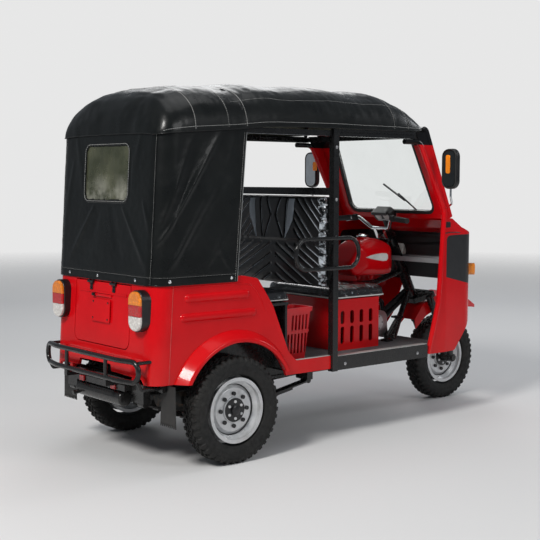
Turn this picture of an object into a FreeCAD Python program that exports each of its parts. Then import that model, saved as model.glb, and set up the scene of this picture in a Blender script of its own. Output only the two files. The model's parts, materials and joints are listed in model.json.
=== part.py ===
import FreeCAD, Part
import math
import os

V = FreeCAD.Vector

# Auto rickshaw: a three-wheeled passenger vehicle with a handlebar, a steel body and a soft top.
# Millimetres. X points forward and is counted from the rear axle, Y to the left, Z up from the ground.
# write_nodes() moves everything so that the origin lies on the ground in the middle of the vehicle.

# Running gear
WHEELBASE = 2115.0
TRACK = 970.0
TYRE_R = 272.0
TYRE_W = 116.0
RIM_R = 167.0
RIM_W = 96.0
RIM_SHEET = 5.0
RIM_SEAT = 13.0
FIT = 0.3
DISC_R = 120.0
HUB_R = 64.0
HUB_BORE_R = 20.05
SHAFT_R = 20.0
DRUM_R = 96.0
DRUM_W = 46.0
AXLE_TUBE_R = 34.0
SPRING_Y = TRACK / 2 - 155.0
SPRING_W = 50.0

# Frame and floor
RAIL_Y = SPRING_Y - 80.0
RAIL_W = 40.0
RAIL_H = 70.0
RAIL_TOP = 436.0
FLOOR_TOP = 456.0
TUBE_SQ = 38.0
CROSS_X = (-420.0, -180.0, 330.0, 640.0, 1000.0, 1308.0, 1475.0)
SPINE_X = 1308.0
SPINE_Z = 792.0
SPINE_R = 18.0

# Rear body
BODY_HW = 480.0
BODY_BOTTOM = 436.0
BODY_TOP = 945.0
BODY_WALL = 16.0
SILL_IN = BODY_HW - 32.0
TAIL_X = -476.0
TAIL_LEAN = 30.0
TAIL_CORNER_R = 90.0
SILL_BOTTOM = 402.0
SILL_END_X = 688.0
ARCH_X = 20.0
ARCH_R = 343.0
ARCH_BAND = 58.0
FLARE_OUT = 66.0
ARCH_ROOM = 30.0
HOUSING_IN = min(TRACK / 2 - TYRE_W / 2 - 35.0, BODY_HW - 60.0)

# Tailgate
GATE_HW = 260.0
GATE_Z0 = 592.0
GATE_Z1 = 906.0
GATE_GAP = 5.0
HINGE_Y = 108.0
KNUCKLE_R = 6.5
PIN_R = 3.0

BENCH_TOP = 786.0

# Cab
DOOR_X_LOW = 1495.0
CAB_LOW = 400.0
CAB_HW = BODY_HW - 15.0
CAB_WALL = 12.0
SCREEN_FOOT = 1660.0
SCREEN_Z0 = 1195.0
SCREEN_Z1 = 1700.0
SCREEN_LEAN = math.radians(23.6)
GLASS_LOW_HW = CAB_HW - 113.0
GLASS_HIGH_HW = GLASS_LOW_HW - 34.0
SEAL_W = 20.0
MIRROR_Y = CAB_HW + 131.0

# Soft top
PILLAR_X = 709.0
PILLAR_Y = BODY_HW - 5.0
ROOF_WALL = 7.0
ROOF_HALF = BODY_HW + 14.0
POST_X = -400.0
CURTAIN_LEAN = TAIL_LEAN / (BODY_TOP - BODY_BOTTOM)
CURTAIN_WALL = 5.0
CURTAIN_TOP = 1684.0
CURTAIN_LOW = 915.0

# Steering
RAKE = math.radians(28.0)
HEAD_X = 1598.0
HEAD_Z = 1150.0
FORK_HALF = 104.0
LEG_R = 24.0
CROWN_UP = 480.0
HEAD_TOP = 88.0
STEER_GAP = 5.0
BEAK_X = 2446.0
BUMPER_X = -555.0
BUMPER_TUBE_R = 13.0

MID_X = (BEAK_X + BUMPER_X - BUMPER_TUBE_R) / 2


# Helpers

def box(x0, x1, y0, y1, z0, z1):
    return Part.makeBox(x1 - x0, y1 - y0, z1 - z0, V(x0, y0, z0))


def rod(p, q, r):
    """A round bar from p to q."""
    p, q = V(*p), V(*q)
    return Part.makeCylinder(r, (q - p).Length, p, q - p)


def both(shape):
    """The shape and its mirror image on the other side, as one compound."""
    return Part.makeCompound([shape, flip(shape)])


def flip(shape):
    return shape.mirror(V(0, 0, 0), V(0, 1, 0))


def fuse(shapes):
    first, rest = shapes[0], list(shapes[1:])
    return first.multiFuse(rest).removeSplitter() if rest else first


def corner_edges(points):
    """Line and arc edges of a closed outline: points are (position, fillet radius)."""
    n = len(points)
    cuts = []
    for i in range(n):
        p, r = points[i]
        a, b = points[i - 1][0], points[(i + 1) % n][0]
        u, w = (a - p).normalize(), (b - p).normalize()
        half = u.getAngle(w) / 2
        if r > 0 and half < math.pi / 2 - 1e-6:
            d = r / math.tan(half)
            middle = (u + w).normalize()
            top = p + middle * (r / math.sin(half) - r)
            cuts.append((p + u * d, top, p + w * d))
        else:
            cuts.append((p, None, p))
    edges = []
    for i in range(n):
        start, top, end = cuts[i]
        if top is not None:
            edges.append(Part.Arc(start, top, end).toShape())
        following = cuts[(i + 1) % n][0]
        if (following - end).Length > 1e-6:
            edges.append(Part.LineSegment(end, following).toShape())
    return edges


def outline(points, plane, at):
    """A closed wire in plane 'xz', 'xy' or 'yz' at a Y, Z or X. Points are (a, b, fillet radius)."""
    place = {
        "xz": lambda a, b: V(a, at, b),
        "xy": lambda a, b: V(a, b, at),
        "yz": lambda a, b: V(at, a, b),
    }[plane]
    return Part.Wire(corner_edges([(place(p[0], p[1]), p[2] if len(p) > 2 else 0.0) for p in points]))


def plate(points, plane, at, depth):
    """A flat piece: the outline pushed by depth along the plane's normal axis."""
    along = {"xz": V(0, depth, 0), "xy": V(0, 0, depth), "yz": V(depth, 0, 0)}[plane]
    return Part.Face(outline(points, plane, at)).extrude(along)


def rounded(a0, a1, b0, b1, r):
    """Corner table of a rounded rectangle."""
    return [(a0, b0, r), (a1, b0, r), (a1, b1, r), (a0, b1, r)]


def bent_wire(points, radius):
    """Straight runs joined by tangent arcs."""
    pts = [V(*p) for p in points]
    edges = []
    start = pts[0]
    for i in range(1, len(pts) - 1):
        u = (pts[i - 1] - pts[i]).normalize()
        w = (pts[i + 1] - pts[i]).normalize()
        half = u.getAngle(w) / 2
        d = radius / math.tan(half)
        middle = (u + w).normalize()
        a, b = pts[i] + u * d, pts[i] + w * d
        edges.append(Part.LineSegment(start, a).toShape())
        edges.append(Part.Arc(a, pts[i] + middle * (radius / math.sin(half) - radius), b).toShape())
        start = b
    edges.append(Part.LineSegment(start, pts[-1]).toShape())
    return Part.Wire(edges)


def bent_tube(points, r, radius):
    """A round bar along straight runs and arcs."""
    path = bent_wire(points, radius)
    first = V(*points[0])
    direction = V(*points[1]) - first
    ring = Part.Wire(Part.makeCircle(r, first, direction))
    return path.makePipeShell([ring], True, False)


def turned(profile, centre, r_extra=0.0):
    """A body turned about the Y axis through centre. The profile is (radius, y) corners with fillets."""
    pts = [(V(p[0] + r_extra, p[1], 0), p[2] if len(p) > 2 else 0.0) for p in profile]
    face = Part.Face(Part.Wire(corner_edges(pts)))
    solid = face.revolve(V(0, 0, 0), V(0, 1, 0), 360)
    solid.translate(V(*centre))
    return solid


def ring_of(make, count, phase=0.0):
    """Copies of make(angle) evenly spaced over a full turn."""
    return [make(phase + 2 * math.pi * k / count) for k in range(count)]


def lean_x(z):
    """X of the tail panel's outer face at height z."""
    return TAIL_X + TAIL_LEAN * (z - BODY_BOTTOM) / (BODY_TOP - BODY_BOTTOM)


# Wheels

def tyre(centre):
    """A plain round-shouldered tyre whose beads stand on the rim's seats."""
    half = TYRE_W / 2
    seat = RIM_R - RIM_SEAT + FIT
    right = [
        (seat, -RIM_W / 2 + 9, 1), (RIM_R + 2, -RIM_W / 2 + 5.8, 2), (RIM_R + 8, -half + 7, 8),
        (RIM_R + 55, -half, 30), (TYRE_R - 12, -half + 7, 14), (TYRE_R, -half + 24, 12),
    ]
    left = [(r, -y, f) for r, y, f in reversed(right)]
    return turned(right + left, centre)


def rim(centre, side):
    """A steel wheel: rim, dished disc with nuts, hub with studs. side is -1 where the disc faces -Y."""
    half = RIM_W / 2
    t = RIM_SHEET
    well = RIM_R - 36.0
    # radius, y: across the rim from one flange to the other and back along its inner face
    barrel = [
        (RIM_R, -half), (RIM_R, -half + t), (RIM_R - 13, -half + t + 3), (RIM_R - 13, -half + 22),
        (well + t, -half + 34), (well + t, half - 34), (RIM_R - 13, half - 22), (RIM_R - 13, half - t - 3),
        (RIM_R, half - t), (RIM_R, half), (RIM_R - 13 - t, half), (RIM_R - 13 - t, half - 22),
        (well, half - 34 - t), (well, -half + 34 + t), (RIM_R - 13 - t, -half + 22), (RIM_R - 13 - t, -half),
    ]
    face_y = -half + 30.0
    disc = [
        (HUB_BORE_R, face_y - 8, 0), (HUB_R, face_y - 8, 3), (HUB_R + 2, face_y + 2, 0),
        (DISC_R - 10, face_y + 2, 6),
        (DISC_R, face_y + 12, 4), (well + 2, face_y + 22, 0), (well + 2, face_y + 28, 0),
        (DISC_R - 6, face_y + 20, 4), (DISC_R - 16, face_y + 10, 4),
        (HUB_R, face_y + 10, 0), (HUB_R, face_y + 34, 0), (HUB_BORE_R, face_y + 34, 0),
    ]
    drum = [
        (HUB_R - 8, face_y + 32, 0), (DRUM_R, face_y + 32, 6), (DRUM_R, face_y + 32 + DRUM_W, 4),
        (DRUM_R - 8, face_y + 32 + DRUM_W, 0), (DRUM_R - 8, face_y + 40, 0), (HUB_R - 8, face_y + 40, 0),
    ]
    pieces = [turned(barrel, (0, 0, 0)), turned(disc, (0, 0, 0)), turned(drum, (0, 0, 0))]
    nut = lambda r, y, k: lambda a: Part.makeCylinder(
        k, 12.0, V(r * math.cos(a), y, r * math.sin(a)), V(0, -1, 0))
    pieces += ring_of(nut(RIM_W * 0.86, face_y + 3, 7.0), 8)
    pieces += ring_of(nut(HUB_R * 0.67, face_y - 4, 6.5), 6, math.pi / 6)
    whole = fuse(pieces)
    if side > 0:
        whole = whole.mirror(V(0, 0, 0), V(0, 1, 0))
    whole.translate(V(*centre))
    return whole


REAR_RIGHT = (0.0, -TRACK / 2, TYRE_R)
REAR_LEFT = (0.0, TRACK / 2, TYRE_R)
FRONT = (WHEELBASE, 0.0, TYRE_R)


def rear_axle():
    """Axle tube with its differential, brake backing plates and the stub shafts that carry the hubs."""
    hub_face = TRACK / 2 + RIM_W / 2 - 22.0
    plate_y = TRACK / 2 + RIM_W / 2 - 30.0 - 32.0 - DRUM_W - 5.0
    tube = rod((0, -plate_y, TYRE_R), (0, plate_y, TYRE_R), AXLE_TUBE_R)
    bell = turned([(1, -120, 0), (52, -120, 10), (112, -52, 40), (112, 52, 40), (52, 120, 10), (1, 120, 0)],
                  (0, 0, TYRE_R))
    nose = Part.makeCone(70, 42, 120, V(60, 0, TYRE_R), V(1, 0, 0))
    shaft = rod((0, -hub_face, TYRE_R), (0, hub_face, TYRE_R), SHAFT_R)
    plates = [rod((0, s * (plate_y - 6), TYRE_R), (0, s * plate_y, TYRE_R), DRUM_R - 2) for s in (-1, 1)]
    pads = [box(-38, 38, s * SPRING_Y - 32, s * SPRING_Y + 32, TYRE_R - AXLE_TUBE_R - 16, TYRE_R)
            for s in (-1, 1)]
    return fuse([tube, bell, nose, shaft] + plates + pads)


def leaf_springs():
    """Leaf packs under the axle, hung from the frame rails at both ends."""
    z = TYRE_R - AXLE_TUBE_R - 16.0 - FIT
    flat, front, back, rise, t = 60.0, 640.0, -430.0, 106.0, 8.6
    leaves = []
    for k, share in enumerate((1.0, 0.8, 0.58, 0.36)):
        top = z - k * (t + FIT)
        up = rise * share
        x0, x1 = -flat + (back + flat) * share, flat + (front - flat) * share
        wire = [(x0, top + up, 0), (-flat, top, 200), (flat, top, 200), (x1, top + up, 0),
                (x1, top + up - t, 0), (flat, top - t, 200), (-flat, top - t, 200), (x0, top + up - t, 0)]
        leaves.append(plate(wire, "xz", SPRING_Y - SPRING_W / 2, SPRING_W))
    clips = [box(x - 13, x + 13, SPRING_Y - 34, SPRING_Y + 34, z - 56, z - 34) for x in (-26, 26)]
    eyes = [rod((x, SPRING_Y - SPRING_W / 2, z + rise), (x, SPRING_Y + SPRING_W / 2, z + rise), 17)
            for x in (front, back)]
    hangers = [box(x - 20, x + 20, RAIL_Y + RAIL_W / 2 + FIT, SPRING_Y + 36, z + rise + 5, RAIL_TOP - 8)
               for x in (front, back)]
    return both(fuse(leaves + clips + eyes + hangers))


def propeller_shaft():
    return fuse([
        rod((180 + FIT, 0, TYRE_R), (240, 0, TYRE_R), 38),
        rod((236, 0, TYRE_R), (1332, 0, 336), 24),
    ])


def steer_point(along, out=0.0, side=0.0):
    """A point given in the steering frame: down the fork from the head, ahead of the axis, to the left."""
    return (HEAD_X + along * math.sin(RAKE) + out * math.cos(RAKE), side,
            HEAD_Z - along * math.cos(RAKE) + out * math.sin(RAKE))


AXLE_ALONG = (WHEELBASE - HEAD_X) * math.sin(RAKE) + (HEAD_Z - TYRE_R) * math.cos(RAKE)
AXLE_OUT = (WHEELBASE - HEAD_X) * math.cos(RAKE) - (HEAD_Z - TYRE_R) * math.sin(RAKE)
CROWN = AXLE_ALONG - CROWN_UP
HEAD_LOW = CROWN - 12.0 - STEER_GAP


def down_tubes(grow):
    """Two pairs of tubes from the foot of the steering head to the front of the frame."""
    foot = RAIL_TOP - RAIL_H + 30
    upper = [rod(steer_point(HEAD_LOW - 60), (1480, s * 170, RAIL_TOP - 24), 17 + grow) for s in (-1, 1)]
    lower = [rod(steer_point(HEAD_LOW - 30), (1480, s * 120, foot), 15 + grow) for s in (-1, 1)]
    return upper + lower


def chassis_frame():
    """Ladder frame with outriggers, the steering head and the tubes that carry it."""
    y0 = RAIL_Y - RAIL_W / 2
    z0, z1 = RAIL_TOP - RAIL_H, RAIL_TOP
    rails = [box(-440, DOOR_X_LOW, s * RAIL_Y - RAIL_W / 2, s * RAIL_Y + RAIL_W / 2, z0, z1) for s in (-1, 1)]
    cross = [box(x - 20, x + 20, -y0, y0, z0 + 10, z1) for x in CROSS_X]
    reach = SILL_IN - FIT
    # x, half length along X, outer end
    arms = [(-392, 13, BODY_HW - BODY_WALL - FIT), (470, 15, BODY_HW - BODY_WALL - FIT),
            (PILLAR_X, 15, PILLAR_Y - TUBE_SQ / 2 - FIT), (1080, 15, reach), (DOOR_X_LOW - 60, 15, reach)]
    outriggers = [box(x - w, x + w, y0, end, z1 - 36, z1) for x, w, end in arms]
    outriggers += [flip(o) for o in outriggers]
    head = rod(steer_point(HEAD_TOP), steer_point(HEAD_LOW), 33)
    bore = rod(steer_point(HEAD_TOP - 10), steer_point(HEAD_LOW + 10), SHAFT_R + 0.05)
    spine = bent_tube([steer_point(330), (1500, 0, SPINE_Z), (SPINE_X, 0, SPINE_Z), (SPINE_X, 0, z1 - 6)],
                      SPINE_R, 50)
    carrier = box(-484, -440, -RAIL_Y, RAIL_Y, 384, 414)
    return fuse(rails + cross + outriggers + [head, spine, carrier] + down_tubes(0)).cut(bore)


def floor_deck():
    """The flat floor of the cabin and the driver's place, resting on the rails."""
    wide = BODY_HW - BODY_WALL - FIT
    deck = box(300, DOOR_X_LOW - 1, -wide, wide, RAIL_TOP, FLOOR_TOP)
    cab = CAB_HW - CAB_WALL - FIT
    nose = box(DOOR_X_LOW - 2, SCREEN_FOOT - 22, -cab, cab, RAIL_TOP, FLOOR_TOP)
    holes = [box(SPINE_X - 24, 1612, -120, 120, 400, 500), door_edges(FIT)] + down_tubes(FIT)
    t = TUBE_SQ / 2 + FIT
    holes += [box(PILLAR_X - t, PILLAR_X + t, s * PILLAR_Y - t, s * PILLAR_Y + t, 400, 500) for s in (-1, 1)]
    holes += wheel_room(ARCH_R + ARCH_ROOM + FIT)
    return fuse([deck, nose]).cut(Part.makeCompound(holes))


def wheel_room(r):
    """A drum on each side that reaches from the wheel housing's inner face outwards."""
    inner = HOUSING_IN - 1
    drum = Part.makeCylinder(r, BODY_HW + FLARE_OUT - inner, V(ARCH_X, inner, TYRE_R), V(0, 1, 0))
    return [drum, flip(drum)]


def side_sills():
    t = TUBE_SQ / 2
    sill = box(PILLAR_X + t + FIT, DOOR_X_LOW - 28, SILL_IN, BODY_HW, 388, 465)
    return both(sill.cut(box(PILLAR_X, DOOR_X_LOW, SILL_IN - 8, BODY_HW - BODY_WALL, RAIL_TOP - FIT, 470)))


# Rear body

SIDE_EDGE = [
    # x, z, fillet: the side panel from its rear foot, along the top and down the front edge to the sill
    (-378.0, BODY_BOTTOM, 4), (-348.0, BODY_TOP, 4), (78.0, BODY_TOP, 60), (176.0, 926.0, 40),
    (279.0, 776.0, 120), (385.0, 526.0, 60), (439.0, 474.0, 30), (SILL_END_X, 474.0, 4),
    (SILL_END_X, SILL_BOTTOM, 4), (330.0, SILL_BOTTOM, 10), (330.0, BODY_BOTTOM, 4),
]
# x range, z of the two pressed ribs on each side
SIDE_RIBS = [(-276.0, 111.0, 850.0), (-302.0, 158.0, 756.0)]


def side_panel():
    """The left panel: pressed ribs, flared arch and the sill that runs to the door pillar."""
    y0 = BODY_HW - BODY_WALL
    skin = plate(SIDE_EDGE, "xz", y0, BODY_WALL)
    skin = skin.cut(rod((ARCH_X, y0 - 5, TYRE_R), (ARCH_X, BODY_HW + 5, TYRE_R), ARCH_R + ARCH_ROOM))
    ribs = [plate(rounded(x0, x1, z - 13, z + 13, 12.5), "xz", BODY_HW - 2, 9.0) for x0, x1, z in SIDE_RIBS]
    outer = BODY_HW + FLARE_OUT
    band = ARCH_R + ARCH_BAND
    section = [
        (ARCH_R, outer - 12, 2), (ARCH_R, outer, 8), (ARCH_R + 20, outer, 14), (band, BODY_HW + 6, 12),
        (band, BODY_HW - 14, 2), (ARCH_R + 26, BODY_HW - 14, 2), (ARCH_R + 26, BODY_HW, 12),
        (ARCH_R + 12, outer - 12, 8),
    ]
    pts = [(V(r, y, 0), f) for r, y, f in section]
    face = Part.Face(Part.Wire(corner_edges(pts)))
    flare = face.revolve(V(0, 0, 0), V(0, 1, 0), 360)
    flare.translate(V(ARCH_X, 0, TYRE_R))
    flare = flare.common(box(-800, 800, 0, 800, BODY_BOTTOM, 900))
    return fuse([skin, flare] + ribs)


def tail_outline(inset, r):
    return [(-378.0, BODY_HW - inset, 0), (TAIL_X + inset, BODY_HW - inset, r),
            (TAIL_X + inset, -BODY_HW + inset, r), (-378.0, -BODY_HW + inset, 0)]


def tail_panel():
    """The tail between the two corner seams, wrapped round both corners, with the aperture for the gate."""
    lean = V(TAIL_LEAN, 0, BODY_TOP - BODY_BOTTOM)
    outer = Part.Face(outline(tail_outline(0, TAIL_CORNER_R), "xy", BODY_BOTTOM)).extrude(lean)
    inner = Part.Face(outline([(p[0] + (5 if p[0] > -400 else 0), p[1], p[2])
                               for p in tail_outline(BODY_WALL, TAIL_CORNER_R - BODY_WALL)],
                              "xy", BODY_BOTTOM)).extrude(lean)
    panel = outer.cut(inner)
    g = GATE_GAP
    hole = plate([(-GATE_HW - g, GATE_Z1 + g, 4), (GATE_HW + g, GATE_Z1 + g, 4),
                  (GATE_HW + g, GATE_Z0 - g, 46), (-GATE_HW - g, GATE_Z0 - g, 46)], "yz", TAIL_X - 60, 120)
    panel = panel.cut(hole)
    below = plate([(-412, 430, 0), (-386, 462, 16), (-112, 468, 8), (-104, 502, 14), (200, 498, 14),
                   (208, 462, 8), (388, 458, 16), (412, 430, 0)], "yz", TAIL_X - 60, 120)
    panel = panel.cut(below)
    crease = plate(rounded(80 - BODY_HW, BODY_HW - 80, 552, 560, 3), "yz", lean_x(556) - 4, 8)
    stiff = [box(lean_x(500) + 6, lean_x(500) + 34, s * 300 - 12, s * 300 + 12, 440, 560) for s in (-1, 1)]
    return fuse([panel, crease] + stiff)


def on_tail(points, low, high):
    """A plate lying on the leaning tail, from low to high outward of its face. Points are (y, z, fillet)."""
    wire = Part.Wire(corner_edges([(V(lean_x(z) - low, y, z), f) for y, z, f in points]))
    return Part.Face(wire).extrude(V(low - high, 0, 0))


def tail_bar(y, z, r, low, high):
    return rod((lean_x(z) - low, y, z), (lean_x(z) - high, y, z), r)


def tailgate():
    """A flat gate with round lower corners, hung from its top edge, with a pressed line across it."""
    skin = on_tail([(-GATE_HW, GATE_Z1, 3), (GATE_HW, GATE_Z1, 3), (GATE_HW, GATE_Z0, 42),
                    (-GATE_HW, GATE_Z0, 42)], -12, 0)
    bead = on_tail(rounded(-GATE_HW + 30, GATE_HW - 30, 850, 860, 4), -1, 4)
    return fuse([skin, bead])


GATE_AXIS = (lean_x(GATE_Z1) - 8.0, 0.0, GATE_Z1 - 2.0)


def gate_fittings():
    """The moving halves of the two hinges, lying on the gate, bored for the pins."""
    x, z = GATE_AXIS[0], GATE_AXIS[2]
    leaf = fuse([rod((x, HINGE_Y - 12, z), (x, HINGE_Y + 12, z), KNUCKLE_R),
                 on_tail(rounded(HINGE_Y - 12, HINGE_Y + 12, 862, z - 1, 4), FIT, 4.2)])
    return both(leaf.cut(rod((x, HINGE_Y - 20, z), (x, HINGE_Y + 20, z), PIN_R + 0.05)))


def number_plate():
    """A blank plate on four short posts."""
    spots = [(y, z) for y in (-70, 70) for z in (722, 806)]
    sheet = on_tail(rounded(-88, 88, 706, 822, 8), 6, 10)
    return fuse([sheet] + [tail_bar(y, z, 5, FIT, 7) for y, z in spots])


def hinge_leaves():
    """The fixed knuckles of the two hinges, on feet on the tail just above the gate."""
    x, z = GATE_AXIS[0], GATE_AXIS[2]
    pieces = []
    top = CURTAIN_LOW - 0.6
    for y in (HINGE_Y - 20, HINGE_Y + 20):
        arm = rounded(y - 6.5, y + 6.5, z + 2, top, 0)
        foot = rounded(y - 6.5, y + 6.5, GATE_Z1 + GATE_GAP + 0.4, top, 0)
        pieces.append(fuse([rod((x, y - 6.5, z), (x, y + 6.5, z), KNUCKLE_R),
                            on_tail(arm, 3.0, 9.0), on_tail(foot, FIT, 9.0)]))
    pin = rod((x, HINGE_Y - 20, z), (x, HINGE_Y + 20, z), PIN_R)
    return both(fuse(pieces + [pin]))


def wheel_housings():
    """Inner arches over the rear wheels: a curved roof and a flat inner wall on each side."""
    t = 6.0
    y0, y1 = HOUSING_IN, BODY_HW - BODY_WALL - 0.5
    r = ARCH_R + ARCH_ROOM
    roof = Part.makeCylinder(r, y1 - y0, V(ARCH_X, y0, TYRE_R), V(0, 1, 0))
    roof = roof.cut(Part.makeCylinder(r - t, y1 - y0 - t, V(ARCH_X, y0 + t, TYRE_R), V(0, 1, 0)))
    roof = roof.common(box(-800, 800, 0, 800, RAIL_TOP + 2, 900))
    return both(roof)


def passenger_bench():
    """Base of the rear bench: front board, top board and side boards, open behind."""
    front, back, top, t = 396.0, -150.0, BENCH_TOP, 14.0
    boards = [
        box(front - t, front, -BODY_HW + 25, BODY_HW - 25, FLOOR_TOP, top - t),
        box(back, front, -BODY_HW + BODY_WALL + FIT, BODY_HW - BODY_WALL - FIT, top - t, top),
    ]
    boards += [box(300, front - t, s * 220 - 10, s * 220 + 10, FLOOR_TOP, top - t) for s in (-1, 1)]
    base = fuse(boards)
    return base.cut(Part.makeCompound(wheel_room(ARCH_R + ARCH_ROOM + 1)))


def passenger_cushion():
    pad = box(-20, 432, -BODY_HW + 34, BODY_HW - 34, BENCH_TOP + FIT, BENCH_TOP + 65)
    return pad.makeFillet(18, [e for e in pad.Edges if e.BoundBox.ZMin > 800 or e.BoundBox.ZLength > 60])


def passenger_backrest():
    """Padded back of the rear bench with the board behind it."""
    half = BODY_HW - 40
    pad = box(-70, 0, -half, half, 75, 560)
    pad = pad.makeFillet(26, [e for e in pad.Edges if e.BoundBox.XMin > -1 or e.BoundBox.XLength > 60])
    back = fuse([pad, box(-86, -70, -half - 4, half + 4, 0, 560)])
    back.rotate(V(0, 0, 0), V(0, 1, 0), -11)
    back.translate(V(-24, 0, BENCH_TOP + FIT + 0.1))
    back.translate(V(0, 0, BENCH_TOP + FIT - back.BoundBox.ZMin))
    return back


def driver_seat_box():
    """Open-topped box with two rows of slots in each side wall."""
    x0, x1, y, z0, z1, t = 901.0, 1238.0, 300.0, FLOOR_TOP, 748.0, 12.0
    shell = box(x0, x1, -y, y, z0, z1).cut(box(x0 + t, x1 - t, -y + t, y - t, z0 - 1, z1 + 1))
    slots = []
    for k in range(4):
        x = x0 + 46 + k * (x1 - x0 - 112) / 3
        for low, high in ((493, 593), (606, 683)):
            slot = plate(rounded(x - 15, x + 15, low, high, 14.5), "xz", -y - 5, 2 * y + 10)
            slots.append(slot)
    return shell.cut(Part.makeCompound(slots))


def driver_cushion():
    pad = box(877, 1298, -303, 303, 748 + FIT, 817)
    pad = pad.makeFillet(18, [e for e in pad.Edges if e.BoundBox.ZMin > 760 or e.BoundBox.ZLength > 60])
    return pad.cut(rod((SPINE_X, 0, 700), (SPINE_X, 0, 900), SPINE_R + FIT))


def driver_backrest():
    """Quilted panel across the cabin behind the driver, hung from the bar between the pillars."""
    half = PILLAR_Y - TUBE_SQ / 2 - 8
    pad = box(PILLAR_X - 26, PILLAR_X + 26, -half, half, 832, 1345 - FIT)
    return pad.makeFillet(14, pad.Edges)


def storage_basket():
    """Open crate on the floor by the right doorway: tapered, slotted in two rows, with a rolled rim."""
    z0, z1, t, grow = FLOOR_TOP, 743.0, 5.0, 24.0
    # x from, x to, y from, y to at the foot
    x0, x1, y0, y1 = 444.0, 590.0, 95.0 - BODY_HW, 195.0 - BODY_HW

    def level(z, out):
        g = out + grow * (z - z0) / (z1 - z0)
        return outline(rounded(x0 - g, x1 + g, y0 - g, y1 + g, 16), "xy", z)

    def crate(low, high, out):
        return Part.makeLoft([level(low, out), level(high, out)], True, True)

    shell = crate(z0, z1, 0).cut(crate(z0 + t, z1 + 5, -t))
    slots = []
    for low, high in ((492, 602), (620, 704)):
        for k in range(6):
            x = x0 + 12 + k * (x1 - x0 - 24) / 5
            slots.append(plate(rounded(x - 7, x + 7, low, high, 6), "xz", y0 - 60, y1 - y0 + 120))
        for k in range(3):
            y = y0 + 20 + k * (y1 - y0 - 40) / 2
            slots.append(plate(rounded(y - 10, y + 10, low, high, 6), "yz", x0 - 60, x1 - x0 + 120))
    bands = [crate(low, high, out).cut(crate(low - 1, high + 1, -1)) for low, high, out in
             ((z1 - 24, z1, 7), (606, 616, 3))]
    return fuse([shell.cut(Part.makeCompound(slots))] + bands)


# Driver's place

def fuel_tank():
    """Teardrop tank on two pads over the backbone, with its cap."""
    side = [(1236, 848, 34), (1222, 925, 70), (1288, 1050, 110), (1430, 1084, 200), (1548, 1034, 120),
            (1600, 925, 80), (1560, 846, 60)]
    body = plate(side, "xz", -118, 236)
    plan = [(1216, -70, 0), (1216, 70, 0), (1320, 118, 80), (1520, 118, 120), (1606, 56, 50), (1606, -56, 50),
            (1520, -118, 120), (1320, -118, 80)]
    front = [(-76, 838, 30), (-122, 900, 70), (-112, 1000, 90), (-60, 1092, 90),
             (60, 1092, 90), (112, 1000, 90), (122, 900, 70), (76, 838, 30)]
    body = body.common(plate(plan, "xy", 800, 400)).common(plate(front, "yz", 1200, 420))
    tunnel = Part.makeCylinder(40, 500, V(1200, 0, SPINE_Z + 14), V(1, 0, 0))
    pads = [box(x - 15, x + 15, -14, 14, SPINE_Z + SPINE_R + FIT, 858) for x in (1360, 1470)]
    cap = fuse([Part.makeCylinder(24, 34, V(1394, 0, 1054)), Part.makeCylinder(34, 10, V(1394, 0, 1078))])
    return fuse([body.cut(tunnel), cap] + pads)


def engine():
    """Crankcase, gearbox, finned cylinder and head, with round covers on both sides."""
    case = plate([(1340, 480, 30), (1340, 600, 50), (1410, 640, 40), (1524, 618, 50), (1532, 510, 50),
                  (1490, 462, 30)], "xz", -88, 176)
    gearbox = box(1334 + FIT, 1440, -62, 62, 300, 500)
    cover = turned([(1, 0, 0), (50, 0, 0), (50, 16, 8), (32, 26, 8), (1, 26, 0)], (1418, 86, 560))
    barrel = [Part.makeCylinder(42, 130, V(0, 0, 0))]
    barrel += [box(-56, 56, -54, 54, 10 + 12 * k, 15 + 12 * k) for k in range(7)]
    barrel.append(box(-50, 50, -48, 48, 94, 140))
    cylinder = fuse(barrel)
    cylinder.rotate(V(0, 0, 0), V(0, 1, 0), 16)
    cylinder.translate(V(1418, 0, 606))
    lugs = [box(1328 + FIT, 1360, -50, 50, RAIL_TOP - 30, 500),
            box(1456, 1494, -50, 50, RAIL_TOP + FIT, 490)]
    return fuse([case, gearbox, cylinder, cover, flip(cover)] + lugs)


def exhaust():
    """Header pipe, long pipe under the floor and the silencer across the tail."""
    low, y = 347.0, RAIL_Y - 50.0
    pipe = bent_tube([(1500, 20, 690), (1590, 20, 668), (1590, -40, low), (1440, -y, low),
                      (-380, -y, low), (-462, -y, 342)], 15, 24)
    can = Part.makeCylinder(39, 2 * RAIL_Y - 70, V(-462, -RAIL_Y + 24, 342), V(0, 1, 0))
    can = can.makeFillet(10, can.Edges[0:1] + can.Edges[2:3])
    tail_pipe = rod((-462, y - 30, 334), (-532, y - 30, 322), 12)
    straps = [box(-472, -452, s * (y - 40) - 10, s * (y - 40) + 10, 374, 384 - FIT) for s in (-1, 1)]
    return fuse([pipe, can, tail_pipe] + straps)


def foot_controls():
    """Brake pedal on the right and a gear rocker on the left, both on the floor."""
    lever = bent_tube([(1413, -200, 462), (1413, -200, 490), (1470, -200, 562), (1498, -200, 592)], 8, 12)
    pad = box(1480, 1522, -232, -168, 590, 602)
    foot = box(1386, 1440, -224, -176, FLOOR_TOP + FIT, 470)
    post = box(1406, 1426, 150, 170, FLOOR_TOP + FIT, 520)
    arms = [rod((1416, 160, 516), (x, 160, z), 7) for x, z in ((1346, 540), (1486, 536))]
    rocker = fuse(arms + [post])
    return Part.makeCompound([fuse([lever, pad, foot]), rocker])


# Cab: a shell cut from the side profile and the plan profile together

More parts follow.
